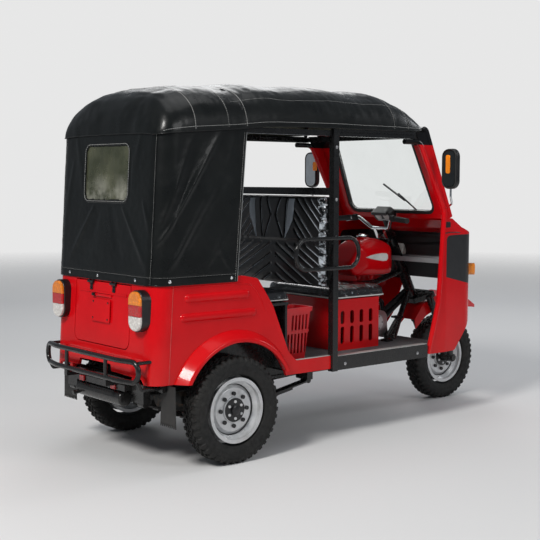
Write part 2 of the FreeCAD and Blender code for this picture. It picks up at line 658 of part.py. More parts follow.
CAB_SIDE = [
    # x, z, fillet
    (DOOR_X_LOW, CAB_LOW, 10), (1531, 540, 60), (1588, 780, 90), (1610, 1080, 60), (1616, SCREEN_Z0 + 8, 0),
    (SCREEN_FOOT + 32, SCREEN_Z0 + 5, 16), (1790, 1145, 90), (1935, 1095, 60), (1995, 930, 120),
    (1985, 780, 120), (1886, 560, 90), (1735, CAB_LOW, 40),
]
CAB_PLAN = [
    # x, half width, fillet
    (1400, CAB_HW, 0), (1640, CAB_HW, 120), (1880, CAB_HW - 25, 120), (1985, CAB_HW - 135, 110),
    (2012, 120, 160),
]


def cab_solid(inset):
    mirrored = [(x, -y, f) for x, y, f in reversed(CAB_PLAN)]
    plan = [(x, y, f) for x, y, f in CAB_PLAN] + mirrored
    if inset:
        plan = [(x - (inset if x > 1800 else 0), y - math.copysign(inset, y) if abs(y) > 200 else y,
                 max(f - inset, 0)) for x, y, f in plan]
    tall = plate(plan, "xy", 300, 1100)
    side = CAB_SIDE
    if inset:
        side = [(1380, CAB_LOW - 40, 0), (1380, 1300, 0), (SCREEN_FOOT + 20, 1300, 0),
                (SCREEN_FOOT + 28, SCREEN_Z0 + 6 - inset, 16),
                (1780, 1145 - inset * 1.2, 80), (1935 - inset, 1095 - inset * 1.3, 50),
                (1995 - inset, 930, 110), (1985 - inset, 780, 110),
                (1886 - inset, 560, 80), (1735 - inset, CAB_LOW - 40, 0)]
    return tall.common(plate(side, "xz", -600, 1200))


def slot_for_wheel():
    """Room for the fork between the cab's lower sides."""
    return plate([(1700, 300, 0), (1700, 640, 80), (1820, 800, 60), (2100, 800, 0), (2100, 300, 0)],
                 "xz", -200, 400)


def cab_shell():
    return cab_solid(0).cut(cab_solid(CAB_WALL)).cut(slot_for_wheel())


def cab_tools():
    """Room taken by the dark mask round the nose, between the groove under the screen and the red chin."""
    return plate([(1640, 850, 0), (1640, 1096, 30), (1700, 1100, 0), (2100, 1100, 0), (2100, 780, 0),
                  (1960, 780, 60)], "xz", -600, 1200)


def door_edges(grow=0.0):
    """Rolled edge of the driver's doorway, from the roof down the screen pillar to the floor."""
    y = CAB_HW + 1
    path = [(1262, 1646), (1390, 1646), (1612, 1250), (1600, 1050), (1572, 700), (1486, CAB_LOW + 4)]
    return both(bent_tube([(x, y, z) for x, z in path], 15 + grow, 60))


SCREEN_TALL = (SCREEN_Z1 + 20 - SCREEN_Z0) / math.cos(SCREEN_LEAN)


def on_screen(shape):
    """Lean a shape drawn upright, with its foot at the origin, into the windscreen's place."""
    shape.rotate(V(0, 0, 0), V(0, 1, 0), -math.degrees(SCREEN_LEAN))
    shape.translate(V(SCREEN_FOOT, 0, SCREEN_Z0 + 8))
    return shape


def glass_shape(grow, d0, depth):
    """The windscreen's outline grown by a margin: narrower at the top, with round corners."""
    low, high = GLASS_LOW_HW + grow, GLASS_HIGH_HW + grow
    w0, w1, r = 38 - grow, SCREEN_TALL - 48 + grow, 44 + grow
    points = [(-low, w0, r), (low, w0, r), (high, w1, r), (-high, w1, r)]
    return plate(points, "yz", d0, depth)


def windscreen_frame():
    """Pillars and rails round the windscreen, leaning back from the cowl to the roof, and their cheeks."""
    wide, top = CAB_HW + 3, SCREEN_TALL
    ring = plate([(-wide, -6, 10), (wide, -6, 10), (wide, top, 30), (-wide, top, 30)], "yz", 0, 26)
    ring = on_screen(ring.cut(glass_shape(SEAL_W, -5, 40)))
    top_x = SCREEN_FOOT - (SCREEN_Z1 - SCREEN_Z0) * math.tan(SCREEN_LEAN)
    cheek = plate([(1612, SCREEN_Z0 - 4, 0), (SCREEN_FOOT + 8, SCREEN_Z0 + 4, 0),
                   (top_x + 10, SCREEN_Z1 + 4, 0), (1362, SCREEN_Z1, 0)], "xz", CAB_HW - 9, 10)
    return fuse([ring, cheek, flip(cheek)])


def windscreen_seal():
    return on_screen(glass_shape(SEAL_W, 4, 22).cut(glass_shape(0, -5, 50)))


def windscreen():
    return on_screen(glass_shape(0, 12, 6))


def wiper():
    """Arm and blade resting over the glass, turning on a post in the frame below it."""
    post = rod((26 + FIT, -212, 2), (42, -212, 2), 9)
    arm = rod((36, -212, 2), (36, -70, 140), 5)
    blade = rod((28, -118, 96), (28, 26, 206), 6)
    return on_screen(fuse([post, arm, blade]))


LAMP_AT = (250.0, 985.0)


def headlamp_body(grow):
    lamp = turned([(1, 0, 0), (78 + grow, 0, 4), (78 + grow, 50, 8), (64, 60, 4), (58, 56, 0), (1, 62, 0)],
                  (0, 0, 0))
    lamp.rotate(V(0, 0, 0), V(0, 0, 1), -90)
    lamp.translate(V(1950, LAMP_AT[0], LAMP_AT[1]))
    return lamp


def headlamps():
    """Two round lamps set into the nose."""
    return both(headlamp_body(0))


def indicators():
    """Amber lamps on the outer corners of the nose."""
    block = plate(rounded(-26, 26, 846, 918, 20), "yz", 0, 60)
    block.rotate(V(0, 0, 0), V(0, 0, 1), 38)
    block.translate(V(1904, CAB_HW - 85, 0))
    lamp = block.cut(cab_solid(0))
    lamp.translate(V(math.cos(math.radians(38)), math.sin(math.radians(38)), 0) * (2 * FIT))
    return both(lamp)


def dash_tray():
    tray = box(1608, 1760, -CAB_HW + 13, CAB_HW - 13, 931, 959).common(cab_solid(CAB_WALL + FIT))
    hollow = box(1620, 1728, -CAB_HW + 37, CAB_HW - 37, 941, 970)
    column = rod(steer_point(40), steer_point(420), 46)
    return tray.cut(hollow).cut(column)


def mirror_stems():
    foot, out = CAB_HW + 18 + FIT, MIRROR_Y
    stem = bent_tube([(1606, -foot, 1266), (1600, -foot - 17, 1266), (1530, -out, 1292),
                      (1517, -out, 1330), (1517, -out, 1377 - FIT)], 6, 25)
    return both(stem)


def mirrors():
    body = plate(rounded(-MIRROR_Y - 56, -MIRROR_Y + 56, 1377, 1608, 46), "yz", 1500, 34)
    body = body.makeFillet(9, [e for e in body.Edges if e.BoundBox.XLength < 1])
    return both(body)


# Soft top and its frame

def roof_at(x):
    """Edge height, crown height and half width of the roof at x, between its named sections."""
    for a, b in zip(ROOF_SECTIONS, ROOF_SECTIONS[1:]):
        if a[0] <= x <= b[0]:
            k = (x - a[0]) / (b[0] - a[0])
            low, high, narrow = [a[i] + k * (b[i] - a[i]) for i in (1, 2, 3)]
            return low, high, ROOF_HALF - narrow
    return ROOF_SECTIONS[-1][1], ROOF_SECTIONS[-1][2], ROOF_HALF - ROOF_SECTIONS[-1][3]


def roof_bow(x):
    """A bow of round tube that follows the inside of the roof at x."""
    low, high, half = roof_at(x)
    r = 11.0
    high -= ROOF_WALL + r + 6
    half -= ROOF_WALL + r + 6
    side = [(x, half - 8, 1690), (x, half - 8, low + (high - low) * 0.5), (x, half * 0.66, high - 18)]
    path = side + [(x, 0, high)] + [(p[0], -p[1], p[2]) for p in reversed(side)]
    return bent_tube(path, r, 60)


def roof_frame():
    """Door pillars, roof rails and bows, rear posts and the bar over the driver's backrest."""
    t = TUBE_SQ / 2
    rail_y = PILLAR_Y - 15.0
    tall = 1690.0 - RAIL_TOP - FIT
    lean = V(CURTAIN_LEAN * tall, 0, tall)
    back = POST_X + lean.x
    x0, x1 = PILLAR_X - t, PILLAR_X + t
    pillars = [box(x0, x1, s * PILLAR_Y - t, s * PILLAR_Y + t, 387, 1692) for s in (-1, 1)]
    rails = [box(back - t + 24, 1346, s * rail_y - 17, s * rail_y + 17, 1662, 1692) for s in (-1, 1)]
    gutter = box(690, 1330, rail_y + 10, BODY_HW + 12, 1686, 1700 - FIT)
    post_y = BODY_HW - 55.0
    foot = outline(rounded(POST_X - t, POST_X + t, post_y - t, post_y + t, 0), "xy", RAIL_TOP + FIT)
    post = Part.Face(foot).extrude(lean)
    posts = [post, flip(post)]
    bar = box(x0, x1, -PILLAR_Y, PILLAR_Y, 1345, 1385)
    bows = [roof_bow(x) for x in (back, 80, PILLAR_X, 1330)]
    rear = box(back - t, back + t, -rail_y, rail_y, 1662, 1690)
    front = box(1326, 1346, -rail_y, rail_y, 1664, 1692)
    return fuse(pillars + rails + [gutter, flip(gutter)] + posts + [bar, rear, front] + bows)


# The roof's cross-sections: x, height of the edge, height of the crown, half width short of ROOF_HALF
ROOF_SECTIONS = [
    (-420.0, 1643.0, 1696.0, 88.0), (-404.0, 1644.0, 1750.0, 47.0), (-372.0, 1648.0, 1815.0, 13.0),
    (-325.0, 1652.0, 1856.0, -1.0), (-250.0, 1658.0, 1886.0, -2.0), (-107.0, 1667.0, 1907.0, -1.0),
    (208.0, 1694.0, 1932.0, -2.0), (708.0, 1703.0, 1940.0, -6.0), (1129.0, 1701.0, 1932.0, -4.0),
    (1250.0, 1703.0, 1899.0, 0.0), (1340.0, 1707.0, 1846.0, 8.0), (1396.0, 1713.0, 1776.0, 22.0),
    (1416.0, 1716.0, 1738.0, 34.0),
]
# share of the half width, share of the rise, fillet as a share of the rise
ROOF_ARCH = [(1.0, 0.0, 0.0), (0.998, 0.42, 0.5), (0.80, 0.85, 0.6), (0.44, 0.975, 1.2), (0.0, 1.0, 0.0)]


def roof_section(x, low, high, narrow, inset):
    half, rise = ROOF_HALF - narrow - inset, high - low
    drop = 30 if inset else 0
    side = [(half * a, low + rise * b - (inset if b else drop), rise * f) for a, b, f in ROOF_ARCH]
    return outline(side + [(-y, z, f) for y, z, f in reversed(side[:-1])], "yz", x)


def canopy_roof():
    """The top sheet: crowned across, rounded down at the back and the front, open below."""
    last = len(ROOF_SECTIONS) - 1
    outer = Part.makeLoft([roof_section(x, a, b, c, 0) for x, a, b, c in ROOF_SECTIONS], True, True)
    shift = {0: ROOF_WALL, last: -ROOF_WALL}
    inner = Part.makeLoft([roof_section(x + shift.get(i, 0), a, b, c, ROOF_WALL)
                           for i, (x, a, b, c) in enumerate(ROOF_SECTIONS)], True, True)
    return outer.cut(inner)


def curtain_outline(inset):
    """Plan of the curtain at the body's rim, with its back on the tail panel."""
    half = BODY_HW + FIT + CURTAIN_WALL - inset
    back = lean_x(CURTAIN_LOW) - FIT - CURTAIN_WALL + inset
    r = TAIL_CORNER_R + CURTAIN_WALL - inset
    ahead = 200.0 + (20.0 if inset else 0.0)
    points = [(ahead, half, 0), (back, half, r), (back, -half, r), (ahead, -half, 0)]
    return outline(points, "xy", CURTAIN_LOW)


def canopy_curtains():
    """One sheet round the back and both sides, hanging from the roof edge over the body's rim."""
    tall = CURTAIN_TOP - CURTAIN_LOW
    lean = V(CURTAIN_LEAN * tall, 0, tall)
    sheet = Part.Face(curtain_outline(0)).extrude(lean)
    sheet = sheet.cut(Part.Face(curtain_outline(CURTAIN_WALL)).extrude(lean))
    trim = plate([(32, 900, 0), (98, 1690, 0), (500, 1690, 0), (500, 900, 0)], "xz", -600, 1200)
    window = plate(rounded(-200, 200, 1325, 1597, 34), "yz", -560, 260)
    return sheet.cut(trim).cut(window)


def rear_window():
    x = lean_x(CURTAIN_LOW) + CURTAIN_LEAN * (1461 - CURTAIN_LOW)
    pane = plate(rounded(-214, 214, 1311, 1611, 40), "yz", x, 3)
    pane.rotate(V(x, 0, 1461), V(0, 1, 0), math.degrees(math.atan(CURTAIN_LEAN)))
    return pane


# Outside fittings

def grab_rails():
    """Closed tube loops bolted to the outside of both door pillars."""
    y = PILLAR_Y + TUBE_SQ / 2 + 11.3
    loop = outline(rounded(412, 868, 952, 1114, 74), "xz", y)
    start = loop.Edges[1].valueAt(loop.Edges[1].FirstParameter)
    direction = loop.Edges[1].tangentAt(loop.Edges[1].FirstParameter)
    ring = Part.Wire(Part.makeCircle(11, start, direction))
    tube = loop.makePipeShell([ring], True, False)
    tabs = [box(PILLAR_X - 12, PILLAR_X + 12, PILLAR_Y + TUBE_SQ / 2, y, z - 10, z + 10) for z in (952, 1114)]
    return both(fuse([tube] + tabs))


def rear_bumper():
    """A long loop of tube across the tail, two posts in it and the arms that hold it to the frame."""
    x, r = BUMPER_X, BUMPER_TUBE_R
    half, low, high = BODY_HW - 40, 456.0, 556.0
    # back or ahead of the middle, y, height, fillet
    corners = [(30, half, low, 48), (30, half, high, 48), (0, 300, high, 260), (0, -300, high, 260),
               (30, -half, high, 48), (30, -half, low, 48), (0, -300, low, 260), (0, 300, low, 260)]
    loop = Part.Wire(corner_edges([(V(x + d, y, z), r0) for d, y, z, r0 in corners]))
    first = loop.Edges[1]
    start, direction = first.valueAt(first.FirstParameter), first.tangentAt(first.FirstParameter)
    tube = loop.makePipeShell([Part.Wire(Part.makeCircle(r, start, direction))], True, False)
    y = RAIL_Y - 60.0
    posts = [rod((x, s * y, low), (x, s * y, high), 10) for s in (-1, 1)]
    arms = [fuse([box(x - 8, -441, s * y - 14, s * y + 14, 414 + FIT, 434),
                  box(x - 8, x + 8, s * y - 14, s * y + 14, 414 + FIT, low)]) for s in (-1, 1)]
    high_bar = rod((x + 30, half - 6, high - 4), (lean_x(high) + 60, half - 6, high - 4), 9)
    y = half - 10
    low_bar = bent_tube([(x + 30, y, low + 4), (x + 52, y, 418), (-405 - FIT, y, 418)], 9, 12)
    room = tail_solid_block()
    bars = [high_bar.cut(room), low_bar]
    return fuse([tube] + posts + arms + bars + [flip(b) for b in bars])


def lamp_outline(grow, x, depth):
    return plate(rounded(316 - grow, 430 + grow, 694 - grow, 897 + grow, 54 + grow), "yz", x, depth)


def tail_lamp_bases():
    base = lamp_outline(0, TAIL_X - 18, 60)
    base = base.makeFillet(5, [e for e in base.Edges if abs(e.BoundBox.XMax - (TAIL_X - 18)) < 1])
    body = tail_solid_block()
    return both(base.cut(body))


def tail_solid_block():
    lean = V(TAIL_LEAN, 0, BODY_TOP - BODY_BOTTOM)
    pts = [(p[0] + 300 if p[0] > -400 else p[0] - FIT, p[1], p[2]) for p in tail_outline(0, TAIL_CORNER_R)]
    return Part.Face(outline(pts, "xy", BODY_BOTTOM)).extrude(lean)


def tail_lamp_lenses():
    """One long lens on each base, in three lengths that meet: clear below, red, amber on top."""
    face = TAIL_X - 18.0 - 14.0
    lens = lamp_outline(-5, face, 14)
    lens = lens.makeFillet(8, [e for e in lens.Edges if abs(e.BoundBox.XMax - face) < 1])
    cuts = [plate(rounded(300, 450, z - 1, z + 1, 0), "yz", face - 1, 4) for z in (770, 825)]
    return both(lens.cut(Part.makeCompound(cuts)))


def reflectors():
    return both(box(-492, -484, 130, 172, 385, 412))


def mudflaps():
    """Rubber flaps behind the rear wheels, hung from the last outrigger, cut to points at the foot."""
    face, low = -392.0 + 13.0 + FIT, 228.0
    inner = HOUSING_IN + 14.0
    edge = [(inner + 10, RAIL_TOP - 4, 0), (inner, low, 0)]
    for k in range(8):
        edge += [(inner + 8 + 16 * k, low + 24, 0), (inner + 16 + 16 * k, low, 0)]
    return both(plate(edge + [(inner + 122, RAIL_TOP - 4, 0)], "yz", face, 6))


# Steered group, in the steering frame: along the axis from the head, ahead of it, to the left

def in_steering(shape):
    """Turn a shape drawn with the axis along -Z and ahead along +X into its place on the vehicle."""
    shape.rotate(V(0, 0, 0), V(0, 1, 0), -math.degrees(RAKE))
    shape.translate(V(HEAD_X, 0, HEAD_Z))
    return shape


def fork():
    """Steering stem, top plate, crown, the two legs and the wheel's spindle."""
    h, axle = FORK_HALF, -AXLE_ALONG
    top_plate = -HEAD_TOP + STEER_GAP
    stem = Part.makeCylinder(SHAFT_R, CROWN + top_plate + 30, V(0, 0, -CROWN - 10))
    crown = plate([(-34, -40, 20), (AXLE_OUT + 10, -h - 22, 20), (AXLE_OUT + 40, -h - 22, 14),
                   (AXLE_OUT + 40, h + 22, 14), (AXLE_OUT + 10, h + 22, 20), (-34, 40, 20)], "xy",
                  -CROWN - 22, 34)
    legs = [Part.makeCylinder(LEG_R - 6, CROWN_UP, V(AXLE_OUT, s * h, axle)) for s in (-1, 1)]
    covers = [Part.makeCylinder(LEG_R, 210, V(AXLE_OUT, s * h, axle + CROWN_UP - 210)) for s in (-1, 1)]
    lugs = [Part.makeCylinder(26, 30, V(AXLE_OUT, s * h - 15, axle), V(0, 1, 0)) for s in (-1, 1)]
    spindle = Part.makeCylinder(SHAFT_R, 2 * h + 46, V(AXLE_OUT, -h - 23, axle), V(0, 1, 0))
    spacers = [Part.makeCylinder(27, h - 5 - y, V(AXLE_OUT, y if s > 0 else -h + 5, axle), V(0, 1, 0))
               for s, y in ((-1, 31), (1, 65))]
    plate_top = plate([(-72, -56, 16), (24, -30, 20), (24, 30, 20), (-72, 56, 16)], "xy", top_plate, 20)
    return in_steering(fuse([stem, crown, spindle, plate_top] + legs + covers + lugs + spacers))


BAR_OUT = -50.0
GRIP_IN = 190.0
GRIP_OUT = 300.0


def handlebar():
    """Bar with its two risers on the top plate of the fork."""
    top = -HEAD_TOP + STEER_GAP + 20
    path = [(1470, -GRIP_OUT, 1184), (1486, -GRIP_IN + 6, 1192), (1500, -140, 1196), (1553, -70, 1128),
            (1553, 70, 1128), (1500, 140, 1196), (1486, GRIP_IN - 6, 1192), (1470, GRIP_OUT, 1184)]
    bar = bent_tube(path, 11, 24)
    risers = [in_steering(Part.makeBox(30, 22, 4 - top, V(BAR_OUT - 15, s * 38 - 11, top + FIT)))
              for s in (-1, 1)]
    levers = []
    for s in (-1, 1):
        levers += [rod((1500, s * 134, 1195), (1530, s * 138, 1187), 6),
                   bent_tube([(1530, s * 132, 1187), (1526, s * 200, 1180), (1510, s * 262, 1170)], 4.5, 30)]
    return fuse([bar] + risers + levers)


def grips():
    """Rubber sleeves on both ends of the bar, with the lever mounts inboard of them."""
    pieces = []
    for s in (-1, 1):
        a, b = V(1470, s * GRIP_OUT, 1184), V(1486, s * (GRIP_IN - 6), 1192)
        out = (a - b).normalize()
        sleeve = rod(a + out * 2, b + (a - b) * 0.06, 17)
        pieces.append(sleeve.cut(rod(a - out * 400, a, 11.05)))
        p, q = V(1500, s * 140, 1196), V(1486, s * (GRIP_IN - 6), 1192)
        pod = rod(p + (q - p) * 0.2, p + (q - p) * 0.85, 20)
        pieces.append(pod.cut(rod(p - (q - p), q + (q - p), 11.05)))
    return Part.makeCompound(pieces)


def instrument_pod():
    """Instrument housing with a hood, standing on a bracket over the fork's top plate."""
    shell = plate(rounded(-74, 74, -36, 44, 26), "yz", -26, 46)
    hood = plate(rounded(-66, 66, 24, 46, 10), "yz", -44, 30)
    face = fuse([shell, hood])
    face.rotate(V(0, 0, 0), V(0, 1, 0), -38)
    face.translate(V(1590, 0, 1216))
    stalk = in_steering(Part.makeBox(22, 30, 110, V(0, -15, -HEAD_TOP + STEER_GAP + 20 + FIT)))
    return fuse([face, stalk])


def front_fender():
    """Channel-shaped guard over the front wheel, seated between the fork legs and drawn out into a beak."""
    half, t = FORK_HALF - LEG_R - FIT, 6.0
    top = [(1790, 545, 10), (1868, 640, 60), (1990, 690, 120), (2110, 706, 160), (2222, 690, 120),
           (BEAK_X, 588, 0)]
    low = [(BEAK_X, 572, 0), (2210, 604, 120), (2010, 606, 140), (1890, 560, 90), (1800, 486, 0)]
    whole = plate(top + low, "xz", -half, 2 * half)
    inner = [(x + (-3 if i < 2 else 0), z - t, f) for i, (x, z, f) in enumerate(top[:-1])]
    inner += [(2424, 588 - t - 4, 0), (2424, 500, 0), (1700, 400, 0)]
    hollow = plate(inner, "xz", -half + t, 2 * (half - t))
    plan = [(1700, -half, 0), (1700, half, 0), (2240, half, 140), (BEAK_X, 20, 14), (BEAK_X, -20, 14),
            (2240, -half, 140)]
    plan_in = [(1690, -half + t, 0), (1690, half - t, 0), (2236, half - t, 134), (BEAK_X - 12, 13, 8),
               (BEAK_X - 12, -13, 8), (2236, -half + t, 134)]
    return whole.common(plate(plan, "xy", 300, 500)).cut(hollow.common(plate(plan_in, "xy", 300, 500)))


NODES = []


def write(name, shape):
    shape = shape.copy()
    shape.translate(V(-MID_X, 0, 0))
    shape.exportStep("parts/" + name + ".step")
    NODES.append((name, shape))


def write_nodes():
    os.makedirs("parts", exist_ok=True)
    shell = cab_shell()
    tools = cab_tools()
    write("chassis_frame", chassis_frame())
    write("floor_deck", floor_deck())
    write("side_sills", side_sills())
    panel = side_panel()
    write("rear_side_panels", both(panel))
    write("tail_panel", tail_panel())
    write("hinge_leaves", hinge_leaves())
    write("wheel_housings", wheel_housings())
    write("passenger_bench", passenger_bench())
    write("passenger_cushion", passenger_cushion())
    write("passenger_backrest", passenger_backrest())
    write("driver_seat_box", driver_seat_box())
    write("driver_cushion", driver_cushion())
    write("driver_backrest", driver_backrest())
    write("storage_basket", storage_basket())
    write("fuel_tank", fuel_tank())
    write("engine", engine())
    write("exhaust", exhaust())
    write("foot_controls", foot_controls())
    write("rear_axle", rear_axle())
    write("leaf_springs", leaf_springs())
    write("propeller_shaft", propeller_shaft())
    lamps = both(headlamp_body(FIT))
    write("cab_body", fuse([shell.cut(tools), windscreen_frame(), door_edges()]).cut(lamps))
    write("front_mask", shell.common(tools).cut(lamps))
    write("indicators", indicators())
    write("windscreen_seal", windscreen_seal())
    write("windscreen", windscreen())
    write("wiper", wiper())
    write("headlamps", headlamps())
    write("dash_tray", dash_tray())
    write("mirror_stems", mirror_stems())
    write("mirrors", mirrors())
    write("roof_frame", roof_frame())
    write("canopy_roof", canopy_roof())
    write("canopy_curtains", canopy_curtains())
    write("rear_window", rear_window())
    write("grab_rails", grab_rails())
    write("rear_bumper", rear_bumper())
    write("tail_lamp_bases", tail_lamp_bases())
    write("tail_lamp_lenses", tail_lamp_lenses())
    write("reflectors", reflectors())
    write("mudflaps", mudflaps())
    write("tailgate", tailgate())
    write("gate_fittings", gate_fittings())
    write("number_plate", number_plate())
    write("fork", fork())
    write("handlebar", handlebar())
    write("handlebar_grips", grips())
    write("instrument_pod", instrument_pod())
    write("front_fender", front_fender())
    write("rear_tyre_right", tyre(REAR_RIGHT))
    write("rear_rim_right", rim(REAR_RIGHT, -1))
    write("rear_tyre_left", tyre(REAR_LEFT))
    write("rear_rim_left", rim(REAR_LEFT, 1))
    write("front_tyre", tyre(FRONT))
    write("front_rim", rim(FRONT, -1))


write_nodes()
for node, shape in NODES:
    box_of = shape.BoundBox
    good = shape.isValid() and shape.Volume > 0
    print("%-22s %s %7.0f cm3  x %7.1f %7.1f  y %7.1f %7.1f  z %7.1f %7.1f" % (
        node, "ok " if good else "BAD", shape.Volume / 1000, box_of.XMin, box_of.XMax,
        box_of.YMin, box_of.YMax, box_of.ZMin, box_of.ZMax))
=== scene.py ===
import json
import math
import bmesh
import bpy
import numpy as np
from mathutils import Matrix, Vector, noise
from mathutils.bvhtree import BVHTree


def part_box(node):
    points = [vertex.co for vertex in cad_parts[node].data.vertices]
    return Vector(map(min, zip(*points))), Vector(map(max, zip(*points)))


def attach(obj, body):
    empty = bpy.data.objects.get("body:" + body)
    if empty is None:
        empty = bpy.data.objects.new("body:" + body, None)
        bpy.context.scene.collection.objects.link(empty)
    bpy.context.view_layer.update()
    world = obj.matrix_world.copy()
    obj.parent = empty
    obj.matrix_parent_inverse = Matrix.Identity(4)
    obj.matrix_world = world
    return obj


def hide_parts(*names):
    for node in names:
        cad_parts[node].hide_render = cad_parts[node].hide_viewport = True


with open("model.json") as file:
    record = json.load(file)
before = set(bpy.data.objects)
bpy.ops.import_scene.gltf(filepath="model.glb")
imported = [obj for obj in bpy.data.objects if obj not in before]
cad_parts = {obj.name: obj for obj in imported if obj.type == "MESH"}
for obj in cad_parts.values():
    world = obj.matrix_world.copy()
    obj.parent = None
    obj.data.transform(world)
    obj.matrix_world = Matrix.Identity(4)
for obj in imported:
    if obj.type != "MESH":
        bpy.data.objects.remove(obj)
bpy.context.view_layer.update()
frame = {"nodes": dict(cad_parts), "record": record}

# Places are in millimetres: x ahead of the rear axle, y to the left, z up from the ground
MID_X = 939.0
LEAN = 30.0 / 509.0
TAIL_FOOT_X = -476.0
TAIL_FOOT_Z = 436.0


def at(x, y, z):
    """A place in millimetres as a point in the row frame, in metres."""
    return Vector(((x - MID_X) / 1000, y / 1000, z / 1000))


def in_millimetres(point):
    """A point in the row frame, in metres, as a place."""
    return Vector((point.x * 1000 + MID_X, point.y * 1000, point.z * 1000))


def placed(name, data):
    """A new object in the scene that shows data."""
    made = bpy.data.objects.new(name, data)
    bpy.context.scene.collection.objects.link(made)
    return made


def around(count, shift=0.0):
    """Evenly spaced angles round a full turn."""
    return [2 * math.pi * (k + shift) / count for k in range(count)]


def tail_x(z):
    """Where the leaning tail panel's face is at height z."""
    return TAIL_FOOT_X + LEAN * (z - TAIL_FOOT_Z)


# Camera at the photograph's place

CAMERA_AT = at(-3393, -4849, 1432)
CAMERA_YAW = math.radians(50.13)
CAMERA_PITCH = math.radians(-4.70)
CAMERA_ROLL = math.radians(0.15)
FOCAL_PIXELS = 1108.0
FRAME_PIXELS = 540.0


def make_camera():
    data = bpy.data.cameras.new("camera")
    data.sensor_fit = "HORIZONTAL"
    data.sensor_width = 36.0
    data.lens = 36.0 * FOCAL_PIXELS / FRAME_PIXELS
    data.clip_end = 200.0
    ahead = Vector((math.cos(CAMERA_YAW) * math.cos(CAMERA_PITCH),
                    math.sin(CAMERA_YAW) * math.cos(CAMERA_PITCH), math.sin(CAMERA_PITCH)))
    right = ahead.cross(Vector((0, 0, 1))).normalized()
    up = right.cross(ahead)
    c, s = math.cos(CAMERA_ROLL), math.sin(CAMERA_ROLL)
    right, up = right * c + up * s, up * c - right * s
    turn = Matrix((right, up, -ahead)).transposed().to_4x4()
    camera = placed("camera", data)
    camera.matrix_world = Matrix.Translation(CAMERA_AT) @ turn
    bpy.context.scene.camera = camera


# Floor, light and background

FLOOR_COLOUR = 0.74
BACK_COLOUR = 0.80
# metres from the middle where the floor begins to fade and where it is gone, and half its side
FLOOR_FADE = (7.0, 16.0)
FLOOR_HALF = 40.0
# colour and strength of the light from all round
SKY = ((0.78, 0.84, 0.92), 0.24)


def area_light(name, place, aim, size, power, colour=(1, 1, 1)):
    data = bpy.data.lights.new(name, "AREA")
    data.shape = "DISK"
    data.size = size
    data.energy = power
    data.color = colour
    lamp = placed(name, data)
    lamp.location = place
    lamp.rotation_euler = (Vector(aim) - Vector(place)).to_track_quat("-Z", "Y").to_euler()


def empty_tree(owner):
    """An owner's node tree without nodes, and functions that add a node and join sockets."""
    owner.use_nodes = True
    tree = owner.node_tree
    tree.nodes.clear()
    return (lambda kind: tree.nodes.new("ShaderNode" + kind)), tree.links.new


def make_lights():
    area_light("key_light", (-7.2, -2.4, 6.4), (0, 0, 0.9), 2.0, 560, (1.0, 0.98, 0.95))
    area_light("side_light", (1.5, -8.0, 5.0), (0, 0, 0.8), 3.4, 150)
    area_light("back_light", (4.5, 6.5, 6.0), (0, 0, 1.0), 4.5, 130)
    area_light("front_light", (8.5, -1.0, 4.5), (0, 0, 0.9), 3.0, 120, (0.95, 0.97, 1.0))
    area_light("top_light", (0.3, 0.2, 7.5), (0, 0, 0), 5.0, 70)
    world = bpy.data.worlds.new("studio")
    bpy.context.scene.world = world
    node, link = empty_tree(world)
    out, mix, path, seen = node("OutputWorld"), node("MixShader"), node("LightPath"), node("Math")
    seen.operation = "MAXIMUM"
    for socket, ray in enumerate(("Is Camera Ray", "Is Transmission Ray")):
        link(path.outputs[ray], seen.inputs[socket])
    link(seen.outputs[0], mix.inputs[0])
    for socket, (colour, strength) in enumerate((SKY, ((BACK_COLOUR,) * 3, 1.0)), 1):
        back = node("Background")
        back.inputs["Color"].default_value = (*colour, 1)
        back.inputs["Strength"].default_value = strength
        link(back.outputs[0], mix.inputs[socket])
    link(mix.outputs[0], out.inputs[0])


def make_floor():
    """A pale floor that fades into the background far behind the object."""
    mesh = bpy.data.meshes.new("floor")
    corners = [(x * FLOOR_HALF, y * FLOOR_HALF, 0) for x, y in ((-1, -1), (1, -1), (1, 1), (-1, 1))]
    mesh.from_pydata(corners, [], [(0, 1, 2, 3)])
    floor = placed("floor", mesh)
    material = bpy.data.materials.new("floor")
    node, link = empty_tree(material)
    out, mix = node("OutputMaterial"), node("MixShader")
    matte, clear = node("BsdfDiffuse"), node("BsdfTransparent")
    matte.inputs["Color"].default_value = (FLOOR_COLOUR, FLOOR_COLOUR, FLOOR_COLOUR, 1)
    where, far_off, fade = node("NewGeometry"), node("VectorMath"), node("MapRange")
    far_off.operation = "LENGTH"
    fade.inputs["From Min"].default_value, fade.inputs["From Max"].default_value = FLOOR_FADE
    link(where.outputs["Position"], far_off.inputs[0])
    link(far_off.outputs["Value"], fade.inputs["Value"])
    for socket, source in enumerate((fade.outputs["Result"], matte.outputs[0], clear.outputs[0])):
        link(source, mix.inputs[socket])
    link(mix.outputs[0], out.inputs[0])
    mesh.materials.append(material)


# Materials

